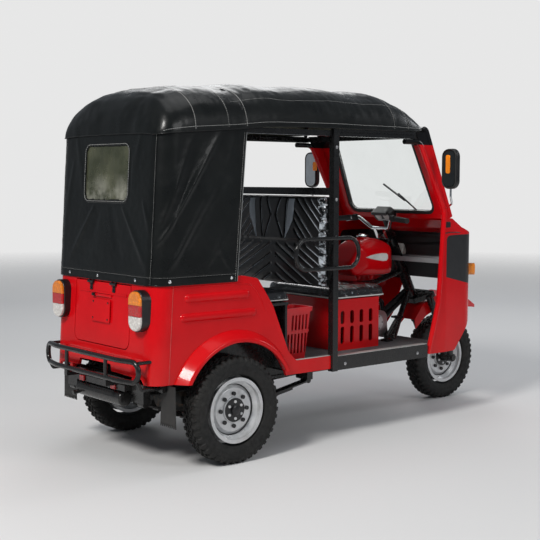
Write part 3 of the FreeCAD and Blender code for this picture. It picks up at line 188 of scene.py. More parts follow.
class Shader:
    """A node material whose textures lie in the piece's own space, in metres."""

    def __init__(self, name, colour, roughness=0.5, metallic=0.0):
        self.material = bpy.data.materials.new(name)
        self.new_node, self.link = empty_tree(self.material)
        out = self.node("OutputMaterial")
        self.surface = self.node("BsdfPrincipled")
        self.link(self.surface.outputs[0], out.inputs[0])
        self.surface.inputs["Base Color"].default_value = (*colour, 1)
        self.surface.inputs["Roughness"].default_value = roughness
        self.surface.inputs["Metallic"].default_value = metallic
        self.space = self.node("TexCoord").outputs["Object"]
        self.material.diffuse_color = (*colour, 1)

    def node(self, kind, **settings):
        made = self.new_node(kind)
        for key, value in settings.items():
            setattr(made, key, value)
        return made

    def set(self, **values):
        """Constant sockets of the surface, written with _ for a space."""
        for key, value in values.items():
            self.surface.inputs[key.replace("_", " ")].default_value = value
        return self

    def stretched(self, scale):
        mapping = self.node("Mapping")
        mapping.inputs["Scale"].default_value = scale
        self.link(self.space, mapping.inputs["Vector"])
        return mapping.outputs["Vector"]

    def texture(self, kind, output, scale, stretch=None, **settings):
        tex = self.node("Tex" + kind, **settings)
        tex.inputs["Scale"].default_value = scale
        self.link(self.stretched(stretch) if stretch else self.space, tex.inputs["Vector"])
        return tex, tex.outputs[output]

    def noise(self, scale, detail=4.0, stretch=None):
        tex, out = self.texture("Noise", "Fac", scale, stretch)
        tex.inputs["Detail"].default_value = detail
        tex.inputs["Roughness"].default_value = 0.55
        return out

    def cells(self, scale):
        return self.texture("Voronoi", "Distance", scale)[1]

    def waves(self, scale, axis):
        return self.texture("Wave", "Fac", scale, bands_direction=axis)[1]

    def height(self):
        parts = self.node("SeparateXYZ")
        self.link(self.space, parts.inputs[0])
        return parts.outputs["Z"]

    def spread(self, value, low, high, to_low=0.0, to_high=1.0):
        """value from low..high mapped to to_low..to_high, held at both ends."""
        node = self.node("MapRange")
        for socket, limit in (("From Min", low), ("From Max", high), ("To Min", to_low), ("To Max", to_high)):
            node.inputs[socket].default_value = limit
        self.link(value, node.inputs["Value"])
        return node.outputs["Result"]

    def maths(self, operation, a, b):
        node = self.node("Math", operation=operation)
        for socket, value in zip(node.inputs, (a, b)):
            if isinstance(value, (int, float)):
                socket.default_value = value
            else:
                self.link(value, socket)
        return node.outputs[0]

    def blend(self, amount, a, b):
        """Colour a where amount is 0 and b where it is 1. Each is a colour or a socket."""
        node = self.node("Mix", data_type="RGBA")
        self.link(amount, node.inputs["Factor"])
        for socket, value in zip((node.inputs[6], node.inputs[7]), (a, b)):
            if isinstance(value, tuple):
                socket.default_value = (*value, 1)
            else:
                self.link(value, socket)
        return node.outputs[2]

    def colour(self, socket):
        self.link(socket, self.surface.inputs["Base Color"])
        return self

    def roughness(self, socket):
        self.link(socket, self.surface.inputs["Roughness"])
        return self

    def patches(self, scale, detail, low, high, a, b, most=1.0):
        """Colour a where the noise is under low, turning to b, or most of the way, where it is over high."""
        return self.blend(self.spread(self.noise(scale, detail), low, high, 0.0, most), a, b)

    def mottle(self, *values):
        return self.colour(self.patches(*values))

    def rough(self, scale, detail, low, high):
        """Roughness that wanders between low and high."""
        return self.roughness(self.spread(self.noise(scale, detail), 0.3, 0.7, low, high))

    def bump(self, *layers):
        """Layers of (height socket, depth in metres), from the coarsest to the finest."""
        last = None
        for value, depth in layers:
            node = self.node("Bump")
            node.inputs["Strength"].default_value = 1.0
            node.inputs["Distance"].default_value = depth
            self.link(value, node.inputs["Height"])
            if last:
                self.link(last, node.inputs["Normal"])
            last = node.outputs["Normal"]
        self.link(last, self.surface.inputs["Normal"])
        return self


def times(colour, k):
    return tuple(c * k for c in colour)


def dusty(s, base, dust, low, high, most, grain=9.0):
    """base with dust that gathers towards the ground, from none at height high to most at low."""
    fall = s.spread(s.height(), low, high, most, 0.0)
    patchy = s.spread(s.noise(grain, 6.0), 0.35, 0.75, 0.35, 1.0)
    return s.blend(s.maths("MULTIPLY", fall, patchy), base, dust)


def paint_red(name="body_red", dark_above=None):
    s = Shader(name, (0.64, 0.003, 0.007), 0.2)
    s.set(Coat_Weight=0.28, Coat_Roughness=0.08, Specular_IOR_Level=0.08)
    tone = s.patches(5.0, 3.0, 0.3, 0.7, (0.58, 0.0025, 0.006), (0.68, 0.004, 0.008))
    red = dusty(s, tone, (0.34, 0.09, 0.07), 0.38, 0.70, 0.16)
    if dark_above:
        red = s.blend(s.maths("GREATER_THAN", s.height(), dark_above), red, (0.008, 0.008, 0.009))
    s.colour(red)
    s.roughness(s.spread(s.noise(24.0, 5.0), 0.3, 0.75, 0.15, 0.28))
    return s.bump((s.noise(2.4, 2.0), 0.0012), (s.noise(420.0, 2.0), 0.00002)).material


def paint_black(name="frame_black", colour=(0.006, 0.0062, 0.0066)):
    s = Shader(name, colour, 0.26)
    s.set(Coat_Weight=0.25, Coat_Roughness=0.08, Specular_IOR_Level=0.3)
    worn = s.spread(s.noise(60.0, 8.0), 0.68, 0.74)
    tone = s.blend(s.noise(12.0), colour, times(colour, 1.9))
    s.colour(dusty(s, s.blend(s.maths("MULTIPLY", worn, 0.4), tone, (0.06, 0.04, 0.03)),
                   (0.08, 0.07, 0.06), 0.05, 0.6, 0.3))
    s.rough(35.0, 5.0, 0.18, 0.36)
    return s.bump((s.noise(260.0, 3.0), 0.00005)).material


def vinyl(name="vinyl_black", colour=(0.0032, 0.0040, 0.0040), wrinkle=0.0026):
    s = Shader(name, colour, 0.34)
    s.set(Specular_IOR_Level=0.22, Coat_Weight=0.14, Coat_Roughness=0.13)
    tone = s.patches(3.0, 5.0, 0.35, 0.7, colour, times(colour, 1.7))
    s.mottle(14.0, 8.0, 0.55, 0.85, tone, (0.04, 0.04, 0.037), 0.08)
    s.rough(7.0, 5.0, 0.25, 0.40)
    folds = s.noise(3.2, 3.0, stretch=(1.0, 1.0, 0.55))
    return s.bump((folds, wrinkle), (s.noise(11.0, 3.0), wrinkle * 0.35),
                  (s.cells(780.0), 0.00012), (s.noise(2200.0, 1.0), 0.00003)).material


def seat_vinyl():
    s = Shader("seat_vinyl", (0.007, 0.0072, 0.008), 0.34)
    s.set(Coat_Weight=0.3, Coat_Roughness=0.08, Specular_IOR_Level=0.4)
    s.mottle(9.0, 5.0, 0.4, 0.75, (0.006, 0.0062, 0.007), (0.014, 0.0145, 0.016))
    s.rough(20.0, 4.0, 0.26, 0.42)
    return s.bump((s.noise(16.0, 4.0, stretch=(1.0, 0.45, 1.0)), 0.0035), (s.noise(70.0, 3.0), 0.0006),
                  (s.cells(820.0), 0.0001)).material


def clear_wrap(name="clear_wrap", alpha=0.5, highlight_range=(0.60, 0.70)):
    """Loose clear plastic film, with pale bluish streaks painted into its colour as highlights."""
    s = Shader(name, (0.1, 0.11, 0.12), 0.1)
    s.set(Alpha=alpha, Coat_Weight=1.0, Coat_Roughness=0.03, Specular_IOR_Level=0.8)
    # the pale bluish streaks are painted highlights on the crinkled film
    painted_highlights = s.spread(s.noise(34.0, 6.0, stretch=(1.0, 0.4, 1.0)), *highlight_range)
    s.colour(s.blend(painted_highlights, (0.006, 0.007, 0.009), (0.72, 0.80, 0.88)))
    return s.bump((s.noise(13.0, 4.0, stretch=(1.0, 0.5, 1.0)), 0.010), (s.noise(60.0, 3.0), 0.0025)).material


def plastic(name, colour, roughness=0.45, grain=0.00008):
    s = Shader(name, colour, roughness)
    s.mottle(10.0, 5.0, 0.35, 0.75, colour, tuple(c * 1.35 + 0.002 for c in colour))
    s.rough(30.0, 5.0, roughness * 0.8, roughness * 1.2)
    return s.bump((s.cells(900.0), grain)).material


def red_plastic():
    s = Shader("red_plastic", (0.58, 0.004, 0.010), 0.32)
    s.set(Subsurface_Weight=0.06, Subsurface_Scale=0.01, Coat_Weight=0.15, Coat_Roughness=0.2)
    s.mottle(8.0, 4.0, 0.3, 0.75, (0.52, 0.004, 0.009), (0.66, 0.008, 0.014))
    s.rough(40.0, 4.0, 0.28, 0.46)
    return s.bump((s.noise(160.0, 3.0), 0.00008)).material


def rubber():
    colour = (0.010, 0.010, 0.010)
    s = Shader("rubber_black", colour, 0.62)
    s.colour(dusty(s, s.blend(s.noise(40.0, 5.0), colour, times(colour, 2.0)),
                   (0.09, 0.08, 0.07), 0.02, 0.6, 0.35, grain=30.0))
    return s.bump((s.noise(500.0, 3.0), 0.0001)).material


def tyre_rubber():
    s = Shader("tyre", (0.009, 0.009, 0.009), 0.6)
    s.set(Specular_IOR_Level=0.4)
    tone = s.patches(26.0, 6.0, 0.35, 0.75, (0.006, 0.006, 0.006), (0.014, 0.014, 0.013))
    s.mottle(5.0, 5.0, 0.45, 0.8, tone, (0.07, 0.062, 0.054), 0.18)
    s.rough(60.0, 4.0, 0.55, 0.85)
    return s.bump((s.noise(240.0, 4.0), 0.00025), (s.noise(1200.0, 2.0), 0.00008)).material


def metal(name, colour, roughness, scratch=0.00003, metallic=1.0):
    s = Shader(name, colour, roughness, metallic)
    s.mottle(18.0, 6.0, 0.35, 0.75, times(colour, 0.82), colour)
    s.rough(45.0, 6.0, roughness * 0.7, roughness * 1.35)
    return s.bump((s.noise(300.0, 4.0, stretch=(1.0, 0.2, 1.0)), scratch)).material


def rim_silver():
    s = Shader("rim_silver", (0.62, 0.63, 0.64), 0.36, 0.55)
    s.set(Coat_Weight=0.4, Coat_Roughness=0.15)
    clean = s.patches(22.0, 5.0, 0.3, 0.75, (0.55, 0.56, 0.57), (0.68, 0.69, 0.70))
    s.mottle(12.0, 8.0, 0.52, 0.8, clean, (0.20, 0.17, 0.14), 0.4)
    s.rough(70.0, 4.0, 0.28, 0.46)
    return s.bump((s.noise(500.0, 2.0), 0.00004)).material


def cast_iron():
    s = Shader("iron_dark", (0.035, 0.034, 0.033), 0.6, 0.6)
    s.mottle(30.0, 8.0, 0.5, 0.75, (0.03, 0.03, 0.03), (0.13, 0.085, 0.055))
    return s.bump((s.noise(260.0, 6.0), 0.0004)).material


def glass(name, colour, roughness=0.0):
    s = Shader(name, colour, roughness)
    s.set(Transmission_Weight=1.0, IOR=1.45)
    s.mottle(6.0, 3.0, 0.3, 0.7, colour, times(colour, 0.97))
    return s.bump((s.noise(4.0, 2.0), 0.00002)).material


def lens(name, colour):
    s = Shader(name, colour, 0.14)
    s.set(Transmission_Weight=0.3, IOR=1.49, Coat_Weight=0.5, Coat_Roughness=0.03)
    ribs = s.waves(38.0, "Z")
    s.colour(s.blend(ribs, times(colour, 0.8), colour))
    return s.bump((ribs, 0.0006)).material


def lamp_strips():
    """A tail lamp's long lens: clear at the foot, then red, then amber, with darker cells painted in as the
    reflection of a faceted reflector behind it.
    """
    s = Shader("lamp_strips", (0.6, 0.05, 0.02), 0.12)
    s.set(Coat_Weight=0.7, Coat_Roughness=0.03, Specular_IOR_Level=0.5)
    z = s.height()
    low = s.blend(s.maths("GREATER_THAN", z, LENS_STEPS[0] / 1000), (0.82, 0.80, 0.76), (0.55, 0.003, 0.006))
    whole = s.blend(s.maths("GREATER_THAN", z, LENS_STEPS[1] / 1000), low, (0.95, 0.27, 0.012))
    facet_cells_and_painted_reflection = s.spread(s.cells(75.0), 0.15, 0.6)
    # the darker cells are a painted reflection of reflector facets; the same cells give the facets' bump
    s.colour(s.blend(s.maths("MULTIPLY", facet_cells_and_painted_reflection, 0.28), whole, (0.10, 0.035, 0.02)))
    return s.bump((s.waves(30.0, "Y"), 0.0008), (facet_cells_and_painted_reflection, 0.0008)).material


def window_film():
    s = Shader("window_film", (0.12, 0.12, 0.08), 0.3)
    s.set(Transmission_Weight=0.35, IOR=1.4)
    murk = s.patches(6.0, 6.0, 0.4, 0.7, (0.055, 0.062, 0.036), (0.13, 0.135, 0.085))
    worn = s.maths("MULTIPLY", s.spread(s.height(), 1.46, 1.36), s.spread(s.noise(9.0, 5.0), 0.40, 0.62))
    s.colour(s.blend(worn, murk, (0.36, 0.36, 0.30)))
    s.rough(14.0, 4.0, 0.2, 0.42)
    return s.bump((s.noise(7.0, 3.0), 0.003), (s.noise(90.0, 3.0), 0.0002)).material


def floor_mat():
    s = Shader("floor_mat", (0.085, 0.087, 0.09), 0.8)
    s.colour(s.blend(s.cells(420.0), (0.05, 0.05, 0.053), (0.15, 0.15, 0.155)))
    return s.bump((s.cells(420.0), 0.0008), (s.noise(1500.0, 2.0), 0.0001)).material


def thread():
    s = Shader("thread", (0.7, 0.7, 0.68), 0.7)
    s.colour(s.blend(s.noise(900.0, 2.0), (0.30, 0.30, 0.29), (0.46, 0.46, 0.45)))
    return s.bump((s.noise(3000.0, 2.0), 0.0002)).material


# heights where a tail lamp's lens turns from clear to red and from red to amber
LENS_STEPS = (770.0, 825.0)
# the cab's pillars are dark above this height, under the roof rail
CAB_DARK_ABOVE = 1630.0

MATERIALS = {
    "body_red": paint_red(),
    "cab_red": paint_red("cab_red", CAB_DARK_ABOVE / 1000),
    # a pale red seam colour: a painted highlight along the corner seam
    "seam_painted_highlight": paint_black("seam_painted_highlight", (0.34, 0.06, 0.055)),
    "lamp_strips": lamp_strips(),
    "lamp_amber": plastic("lamp_amber", (0.90, 0.25, 0.01), 0.2),
    # the right mirror's glass: dark plastic as a painted dark reflection
    "mirror_painted_reflection": plastic("mirror_painted_reflection", (0.01, 0.012, 0.013), 0.06, 0.0),
    # crinkle: the same film, with paler painted highlight streaks over more of it
    "crinkle": clear_wrap("crinkle", 0.75, (0.46, 0.58)),
    "cover_silver": metal("cover_silver", (0.66, 0.67, 0.68), 0.4, 0.0001, 0.35),
    "ribbon": vinyl("ribbon", (0.36, 0.41, 0.46), 0.0006),
    # grey vinyl for the curtain's front edges: a painted highlight on the black vinyl
    "edge_painted_highlight": vinyl("edge_painted_highlight", (0.13, 0.135, 0.135), 0.0004),
    "scuffed_alloy": metal("scuffed_alloy", (0.60, 0.60, 0.58), 0.42, 0.0003, 0.5),
    "frame_black": paint_black(),
    "floor_mat": floor_mat(),
    "seat_vinyl": seat_vinyl(),
    "red_plastic": red_plastic(),
    "engine_alloy": metal("engine_alloy", (0.46, 0.46, 0.47), 0.38, 0.0002),
    "iron_dark": cast_iron(),
    "black_plastic": plastic("black_plastic", (0.007, 0.007, 0.008), 0.34),
    "rubber_black": rubber(),
    "screen_glass": glass("screen_glass", (0.95, 0.98, 0.97)),
    "lamp_clear": glass("lamp_clear", (0.95, 0.95, 0.95), 0.04),
    "lens_amber": lens("lens_amber", (0.95, 0.30, 0.02)),
    "lens_red": lens("lens_red", (0.80, 0.012, 0.012)),
    "grey_plastic": plastic("grey_plastic", (0.20, 0.21, 0.22), 0.5),
    "chrome": metal("chrome", (0.86, 0.87, 0.88), 0.10, 0.00001),
    "vinyl_black": vinyl(),
    "window_film": window_film(),
    "rim_silver": rim_silver(),
    "tyre": tyre_rubber(),
    "mirror_glass": metal("mirror_glass", (0.85, 0.87, 0.88), 0.03, 0.0),
    "thread": thread(),
    "clear_wrap": clear_wrap(),
    "steel": metal("steel", (0.55, 0.55, 0.56), 0.28),
    "lens_clear": lens("lens_clear", (0.85, 0.84, 0.80)),
    "liner": vinyl("liner", (0.10, 0.10, 0.075), 0.001),
    "piping_white": plastic("piping_white", (0.62, 0.62, 0.60), 0.4),
}
# CAD nodes with another material than their slot's
OWN_MATERIAL = {"tail_lamp_lenses": "lamp_strips", "cab_body": "cab_red", "headlamps": "lens_clear"}


def dress_cad_nodes():
    """Each CAD node that stays gets its slot's material, or one of its own."""
    for part in frame["record"]["subparts"]:
        name = OWN_MATERIAL.get(part["node"], part["material_slot"])
        node = frame["nodes"][part["node"]]
        node.data.materials.clear()
        node.data.materials.append(MATERIALS[name])
        shade(node)


def shade(obj, angle=35.0):
    """Smooth shading with edges sharper than the angle kept."""
    mesh = obj.data
    mesh.polygons.foreach_set("use_smooth", [True] * len(mesh.polygons))
    mesh.set_sharp_from_angle(angle=math.radians(angle))


# Shapes in mesh code

def piece(name, points, faces, material, body="chassis", smooth=35.0):
    """A mesh piece from places in millimetres, riding on a body."""
    mesh = bpy.data.meshes.new(name)
    places = np.asarray(points, float).copy()
    places[:, 0] -= MID_X
    mesh.from_pydata((places / 1000).tolist(), [], [tuple(int(i) for i in f) for f in faces])
    mesh.validate()
    obj = placed(name, mesh)
    mesh.materials.append(MATERIALS[material])
    if smooth:
        shade(obj, smooth)
    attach(obj, body)
    return obj


def grid_faces(rows, columns, closed_rows=False, closed_columns=False):
    """Faces between rows of points, listed row by row."""
    faces = []
    for i in range(rows if closed_rows else rows - 1):
        for j in range(columns if closed_columns else columns - 1):
            a, b = i * columns, ((i + 1) % rows) * columns
            c = (j + 1) % columns
            faces.append((a + j, b + j, b + c, a + c))
    return faces


def end_faces(rows, columns):
    """Faces that close the first and the last row of points."""
    return [tuple(range(columns))[::-1], tuple(range((rows - 1) * columns, rows * columns))]


def solid_faces(rows, columns):
    return grid_faces(rows, columns, False, True) + end_faces(rows, columns)


def open_backed(rows, columns):
    """A solid's faces but for the one that closes its first row."""
    return grid_faces(rows, columns, False, True) + end_faces(rows, columns)[1:]


def baked(obj):
    """The object's mesh with its modifiers applied."""
    shape = bpy.data.meshes.new_from_object(obj.evaluated_get(bpy.context.evaluated_depsgraph_get()))
    obj.modifiers.clear()
    obj.data = shape
    return obj


def copied(source, name, material):
    """A copy of an object's mesh as a new object in one material."""
    mesh = source.data.copy()
    mesh.name = name
    mesh.materials.clear()
    mesh.materials.append(MATERIALS[material])
    return placed(name, mesh)


def ray_tree(obj):
    return BVHTree.FromObject(obj, bpy.context.evaluated_depsgraph_get())


def thickened(obj, thickness, inner_material=None):
    """The sheet with an inner face, thickness metres inward."""
    skin = obj.modifiers.new("skin", "SOLIDIFY")
    skin.thickness = thickness
    skin.offset = -1.0
    if inner_material:
        obj.data.materials.append(MATERIALS[inner_material])
        skin.material_offset = 1
    return baked(obj)


class Shapes:
    """Many small closed shapes gathered into one piece."""

    def __init__(self):
        self.points = []
        self.faces = []

    def add(self, points, faces):
        first = len(self.points)
        self.points += [tuple(p) for p in points]
        self.faces += [tuple(first + i for i in f) for f in faces]

    def tube(self, path, radius, sides=8, closed=False):
        """A round tube along a path of places in millimetres. radius is one number or one per place."""
        path = [Vector(p) for p in path]
        count = len(path)
        radii = radius if isinstance(radius, (list, tuple)) else [radius] * count
        side, rings = None, []
        for i, place in enumerate(path):
            before = path[i - 1] if i or closed else path[0]
            after = path[(i + 1) % count] if i < count - 1 or closed else path[-1]
            along = (after - before).normalized()
            if side is None:
                side = along.orthogonal().normalized()
            side = (side - along * side.dot(along)).normalized()
            other = along.cross(side)
            rings += [place + (side * math.cos(t) + other * math.sin(t)) * radii[i] for t in around(sides)]
        self.add(rings, grid_faces(count, sides, True, True) if closed else solid_faces(count, sides))

    def prism(self, centre, axis, radius, length, sides=6, bevel=0.15):
        """A bolt head, washer or cap: a turned or many-sided block with a bevelled outer end."""
        centre, axis = Vector(centre), Vector(axis).normalized()
        side = axis.orthogonal().normalized()
        other = axis.cross(side)
        rings = []
        for along, r in ((0, radius), (length * (1 - bevel), radius), (length, radius * (1 - bevel)),
                         (length, radius * 0.01)):
            rings += [centre + axis * along + (side * math.cos(t) + other * math.sin(t)) * r
                      for t in around(sides, 0.5)]
        self.add(rings, solid_faces(4, sides))

    def block(self, low, high, bevel=0.0):
        """A box with bevelled edges."""
        low, high = Vector(low), Vector(high)
        made = bmesh.new()
        bmesh.ops.create_cube(made, size=1.0)
        for v in made.verts:
            v.co = Vector(low[k] + (v.co[k] + 0.5) * (high[k] - low[k]) for k in range(3))
        if bevel:
            bmesh.ops.bevel(made, geom=made.edges[:], offset=bevel, segments=2, profile=0.7, affect="EDGES")
        made.verts.index_update()
        self.add([v.co[:] for v in made.verts], [[v.index for v in f.verts] for f in made.faces])
        made.free()

    def slab(self, outline, out, bevel=0.04):
        """A flat plate: the outline raised by out, with a bevelled face."""
        outline, out = [Vector(p) for p in outline], Vector(out)
        count, centre = len(outline), sum(outline, Vector()) / len(outline)
        rings = outline + [p + out * 0.7 for p in outline]
        rings += [centre + (p - centre) * (1 - bevel) + out for p in outline]
        self.add(rings, solid_faces(3, count))

    def stitches(self, path, length=9.0, gap=2.5, radius=1.5):
        """Thread dashes along a path."""
        path = [Vector(p) for p in path]
        far = [0.0]
        for a, b in zip(path, path[1:]):
            far.append(far[-1] + (b - a).length)

        def place(d):
            i = min(max(int(np.searchsorted(far, d)) - 1, 0), len(path) - 2)
            k = (d - far[i]) / max(far[i + 1] - far[i], 1e-9)
            return path[i].lerp(path[i + 1], min(max(k, 0.0), 1.0))

        d = gap
        while d + length < far[-1]:
            ends = radius * 0.55
            self.tube([place(d), place(d + length / 2), place(d + length)], [ends, radius, ends], sides=5)
            d += length + gap

    def piece(self, name, material, body="chassis", smooth=40.0):
        return piece(name, self.points, self.faces, material, body, smooth)


def curve_through(points, count):
    """Places on a smooth open curve through the points."""
    pts = [Vector(p) for p in points]
    n = len(pts)
    out = []
    spans = n - 1
    for i in range(spans):
        p0, p1, p2, p3 = (pts[min(max(i + k, 0), n - 1)] for k in (-1, 0, 1, 2))
        steps = max(2, count // spans)
        for j in range(steps):
            t = j / steps
            out.append(0.5 * ((2 * p1) + (p2 - p0) * t + (2 * p0 - 5 * p1 + 4 * p2 - p3) * t * t
                              + (3 * p1 - p0 - 3 * p2 + p3) * t ** 3))
    out.append(pts[-1])
    return out


def eased(x, table):
    """Columns of a table at x, joined smoothly. The table's first column is x."""
    table = np.asarray(table, float)
    xs = table[:, 0]
    x = float(np.clip(x, xs[0], xs[-1]))
    i = int(np.clip(np.searchsorted(xs, x) - 1, 0, len(xs) - 2))
    h = xs[i + 1] - xs[i]
    t = (x - xs[i]) / h
    slopes = np.gradient(table[:, 1:], xs, axis=0)
    a, b, ma, mb = table[i, 1:], table[i + 1, 1:], slopes[i] * h, slopes[i + 1] * h
    return ((2 * t ** 3 - 3 * t ** 2 + 1) * a + (t ** 3 - 2 * t ** 2 + t) * ma
            + (-2 * t ** 3 + 3 * t ** 2) * b + (t ** 3 - t ** 2) * mb)


def ripple(x, y, z, size, seed=0.0):
    """Smooth noise from -1 to 1 whose lumps are size millimetres across."""
    return noise.noise(Vector((x / size + seed, y / size - seed, z / size + 2 * seed)))


# Soft top

# x, height of the hem, height of the crown, half width at the hem
ROOF_STATIONS = [
    (-418, 1643, 1688, 404), (-412, 1643, 1724, 428), (-402, 1644, 1756, 450), (-388, 1646, 1787, 467),
    (-372, 1648, 1815, 479), (-325, 1652, 1856, 492), (-250, 1658, 1886, 495), (-107, 1667, 1907, 495),
    (49, 1680, 1903, 495), (208, 1694, 1932, 496), (420, 1701, 1925, 498), (708, 1703, 1940, 500),
    (930, 1702, 1928, 500), (1129, 1701, 1932, 498), (1250, 1703, 1899, 494), (1340, 1707, 1846, 486),
    (1392, 1712, 1788, 474), (1412, 1716, 1738, 460),
]
ROOF_SEAMS = (-224.0, -22.0, 94.0, 1150.0, 1268.0)
ROOF_BOWS = (-107.0, 208.0, 708.0, 1129.0)
ROOF_SKIN = 0.0045


def roof_surface(x, k):
    """A place on the outside of the top sheet: k runs from the right hem at 0 to the left hem at 1."""
    low, high, half = eased(x, ROOF_STATIONS)
    angle = math.pi * k
    full = 3.3 + 0.9 * math.exp(-((x - 500) / 170) ** 2) + 0.3 * math.exp(-((x + 20) / 120) ** 2)
    c, s = math.cos(angle), math.sin(angle)
    y = -half * math.copysign(abs(c) ** (2 / full), c)
    rise = max(s, 0.0) ** (2 / 2.2)
    z = low + (high - low) * rise
    away = min(abs(x - bow) for bow in ROOF_BOWS)
    slack = 1 - math.exp(-(away / 90) ** 2)
    wave = 5.0 * ripple(x * 0.45, y * 1.3, z * 1.5, 120, 3.1) * slack + 2.2 * ripple(x, y, z, 45, 1.7)
    wave += 2.0 * ripple(x * 2.2, y * 0.35, z * 0.6, 60, 5.5)
    wave *= 0.25 + 0.75 * rise
    for seam in ROOF_SEAMS:
        wave += 1.6 * math.exp(-((x - seam - 7) / 6) ** 2) - 1.2 * math.exp(-((x - seam) / 3) ** 2)
        wave += 1.3 * math.sin(k * 260) * math.exp(-((x - seam) / 22) ** 2) * ripple(x, y, z, 70, 9.0)
    out = Vector((0.0, y / half * (1 - rise), 0.25 + 0.75 * rise)).normalized()
    end = max(0.0, (-330 - x) / 82)
    out = (out * (1 - end) + Vector((-1, 0, 0.4)) * end).normalized()
    return Vector((x, y, z)) + out * wave


def roof_rows():
    """Where the roof's rows of points lie, closer together at its two ends."""
    spans = ((-418, -372, 16), (-364, -250, 16), (-241, 1250, 160), (1258, 1412, 24))
    return [x for low, high, count in spans for x in np.linspace(low, high, count)]


def canopy_roof():
    """The top sheet as one curved skin, closed down at both ends, with its hem and seams."""
    xs, count = roof_rows(), 121
    ks = [j / (count - 1) for j in range(count)]
    rows = [[roof_surface(x, k) for k in ks] for x in xs]
    first, last = rows[0], rows[-1]
    for row, flat_z in ((first, 1643.0), (last, 1716.0)):
        for j, p in enumerate(row):
            row[j] = Vector((p.x, p.y, flat_z + 0.2 * (p.z - flat_z)))
    points = [p for row in rows for p in row]
    roof = piece("canopy_roof_skin", points, grid_faces(len(xs), count), "vinyl_black", smooth=60)
    thickened(roof, ROOF_SKIN, "liner")
    shade(roof, 60)
    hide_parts("canopy_roof")
    hem = Shapes()
    right = [roof_surface(x, 0.0) for x in xs]
    left = [roof_surface(x, 1.0) for x in xs]
    loop = first[::-1][::4] + right[::2] + last[::4] + left[::-1][::2]
    hem.tube([p + Vector((0, 0, 1.5)) for p in loop], 3.2, sides=8, closed=True)
    bind = hem.piece("canopy_roof_hem", "vinyl_black", smooth=60)
    thread = Shapes()
    for seam in ROOF_SEAMS:
        line = [roof_surface(seam + 1.0, j / 240) + Vector((0, 0, 0.8)) for j in range(2, 239)]
        thread.stitches(line)
    for k in (0.026, 0.974):
        thread.stitches([roof_surface(x, k) for x in xs[8:-3]], radius=1.2)
    for k in (0.20, 0.80):
        thread.stitches([roof_surface(x, k) + Vector((0, 0, 0.6)) for x in xs[60:-26]], radius=0.8)
    sewn = thread.piece("canopy_roof_thread", "thread", smooth=60)


CURTAIN_OUT = 485.6
CURTAIN_CORNER = 95.0
CURTAIN_LOW, CURTAIN_HIGH = 917.0, 1684.0
# x of the front edge at the foot, and how far ahead of that it is at the top
CURTAIN_FRONT, CURTAIN_FRONT_RISE = 34.0, 64.0
CURTAIN_REAR = tail_x(CURTAIN_LOW) - 5.6
# length of half the curtain's foot, from the middle of the back to a front edge
CURTAIN_RUN = (CURTAIN_OUT - CURTAIN_CORNER + CURTAIN_CORNER * math.pi / 2
               + CURTAIN_FRONT - CURTAIN_REAR - CURTAIN_CORNER)
SKIN = 0.0032
# heights where the hem's stitches run, where the curtain is free of the tail, and where the roof holds it
HEM_Z, FREE_Z, HELD_Z = 956.0, 962.0, 1668.0
# from x, z to x, z on a side, how far it stands out, its width
SIDE_FOLDS = [
    (-409, 1135, -73, 1651, 10.0, 15), (-425, 1169, -251, 1596, 7.0, 17), (-361, 1012, -4, 1532, 5.0, 22),
    (-4, 968, -74, 1089, 3.5, 14), (-440, 1004, -455, 1150, 4.5, 20), (-330, 1250, -170, 1640, -5.5, 26),
    (-270, 1100, 40, 1580, -4.5, 34), (20, 1640, -40, 1350, 2.4, 26), (-150, 1000, 30, 1250, 2.6, 24),
]
# from y, z to y, z on the back, how far it stands out, its width
BACK_FOLDS = [
    (108, 1291, 372, 960, 5.0, 17), (-159, 1297, -405, 985, 5.0, 17), (-348, 1315, -421, 1150, 4.0, 16),
    (60, 1250, 210, 985, -3.0, 40), (-60, 1290, -150, 1010, -3.0, 44), (330, 1500, 410, 1150, 3.0, 22),
    (300, 1640, 240, 1420, 3.0, 26), (-300, 1640, -235, 1440, 3.0, 26),
]


def fold_height(a, z, folds):
    """How far the folds stand out at a place on one side, a along it and z up."""
    total = 0.0
    for a0, z0, a1, z1, tall, wide in folds:
        run = Vector((a1 - a0, z1 - z0))
        off = Vector((a - a0, z - z0))
        k = off.dot(run) / run.length_squared
        across = abs(off.x * run.y - off.y * run.x) / run.length
        wide_here = wide * (0.55 + 0.75 * min(max(k, 0.0), 1.0))
        fade = math.exp(-max(0.0, -k) * 12) * math.exp(-max(0.0, k - 1) * 6)
        fade *= 0.45 + 0.55 * math.exp(-((k - 0.35) / 0.45) ** 2)
        total += tall * fade * math.exp(-(across / wide_here) ** 2)
    return total


def curtain_path(s):
    """A place (x, y) at the curtain's foot and its outward direction.

    s runs from -1 at the right front edge to 1 at the left front edge.
    """
    corner = CURTAIN_CORNER * math.pi / 2
    back = CURTAIN_OUT - CURTAIN_CORNER
    d = abs(s) * CURTAIN_RUN
    sign = 1.0 if s >= 0 else -1.0
    rear = CURTAIN_REAR
    if d < back:
        return rear, d * sign, -1.0, 0.0
    d -= back
    if d < corner:
        t = d / CURTAIN_CORNER
        return (rear + CURTAIN_CORNER * (1 - math.cos(t)), sign * (back + CURTAIN_CORNER * math.sin(t)),
                -math.cos(t), sign * math.sin(t))
    d -= corner
    return rear + CURTAIN_CORNER + d, sign * CURTAIN_OUT, 0.0, sign


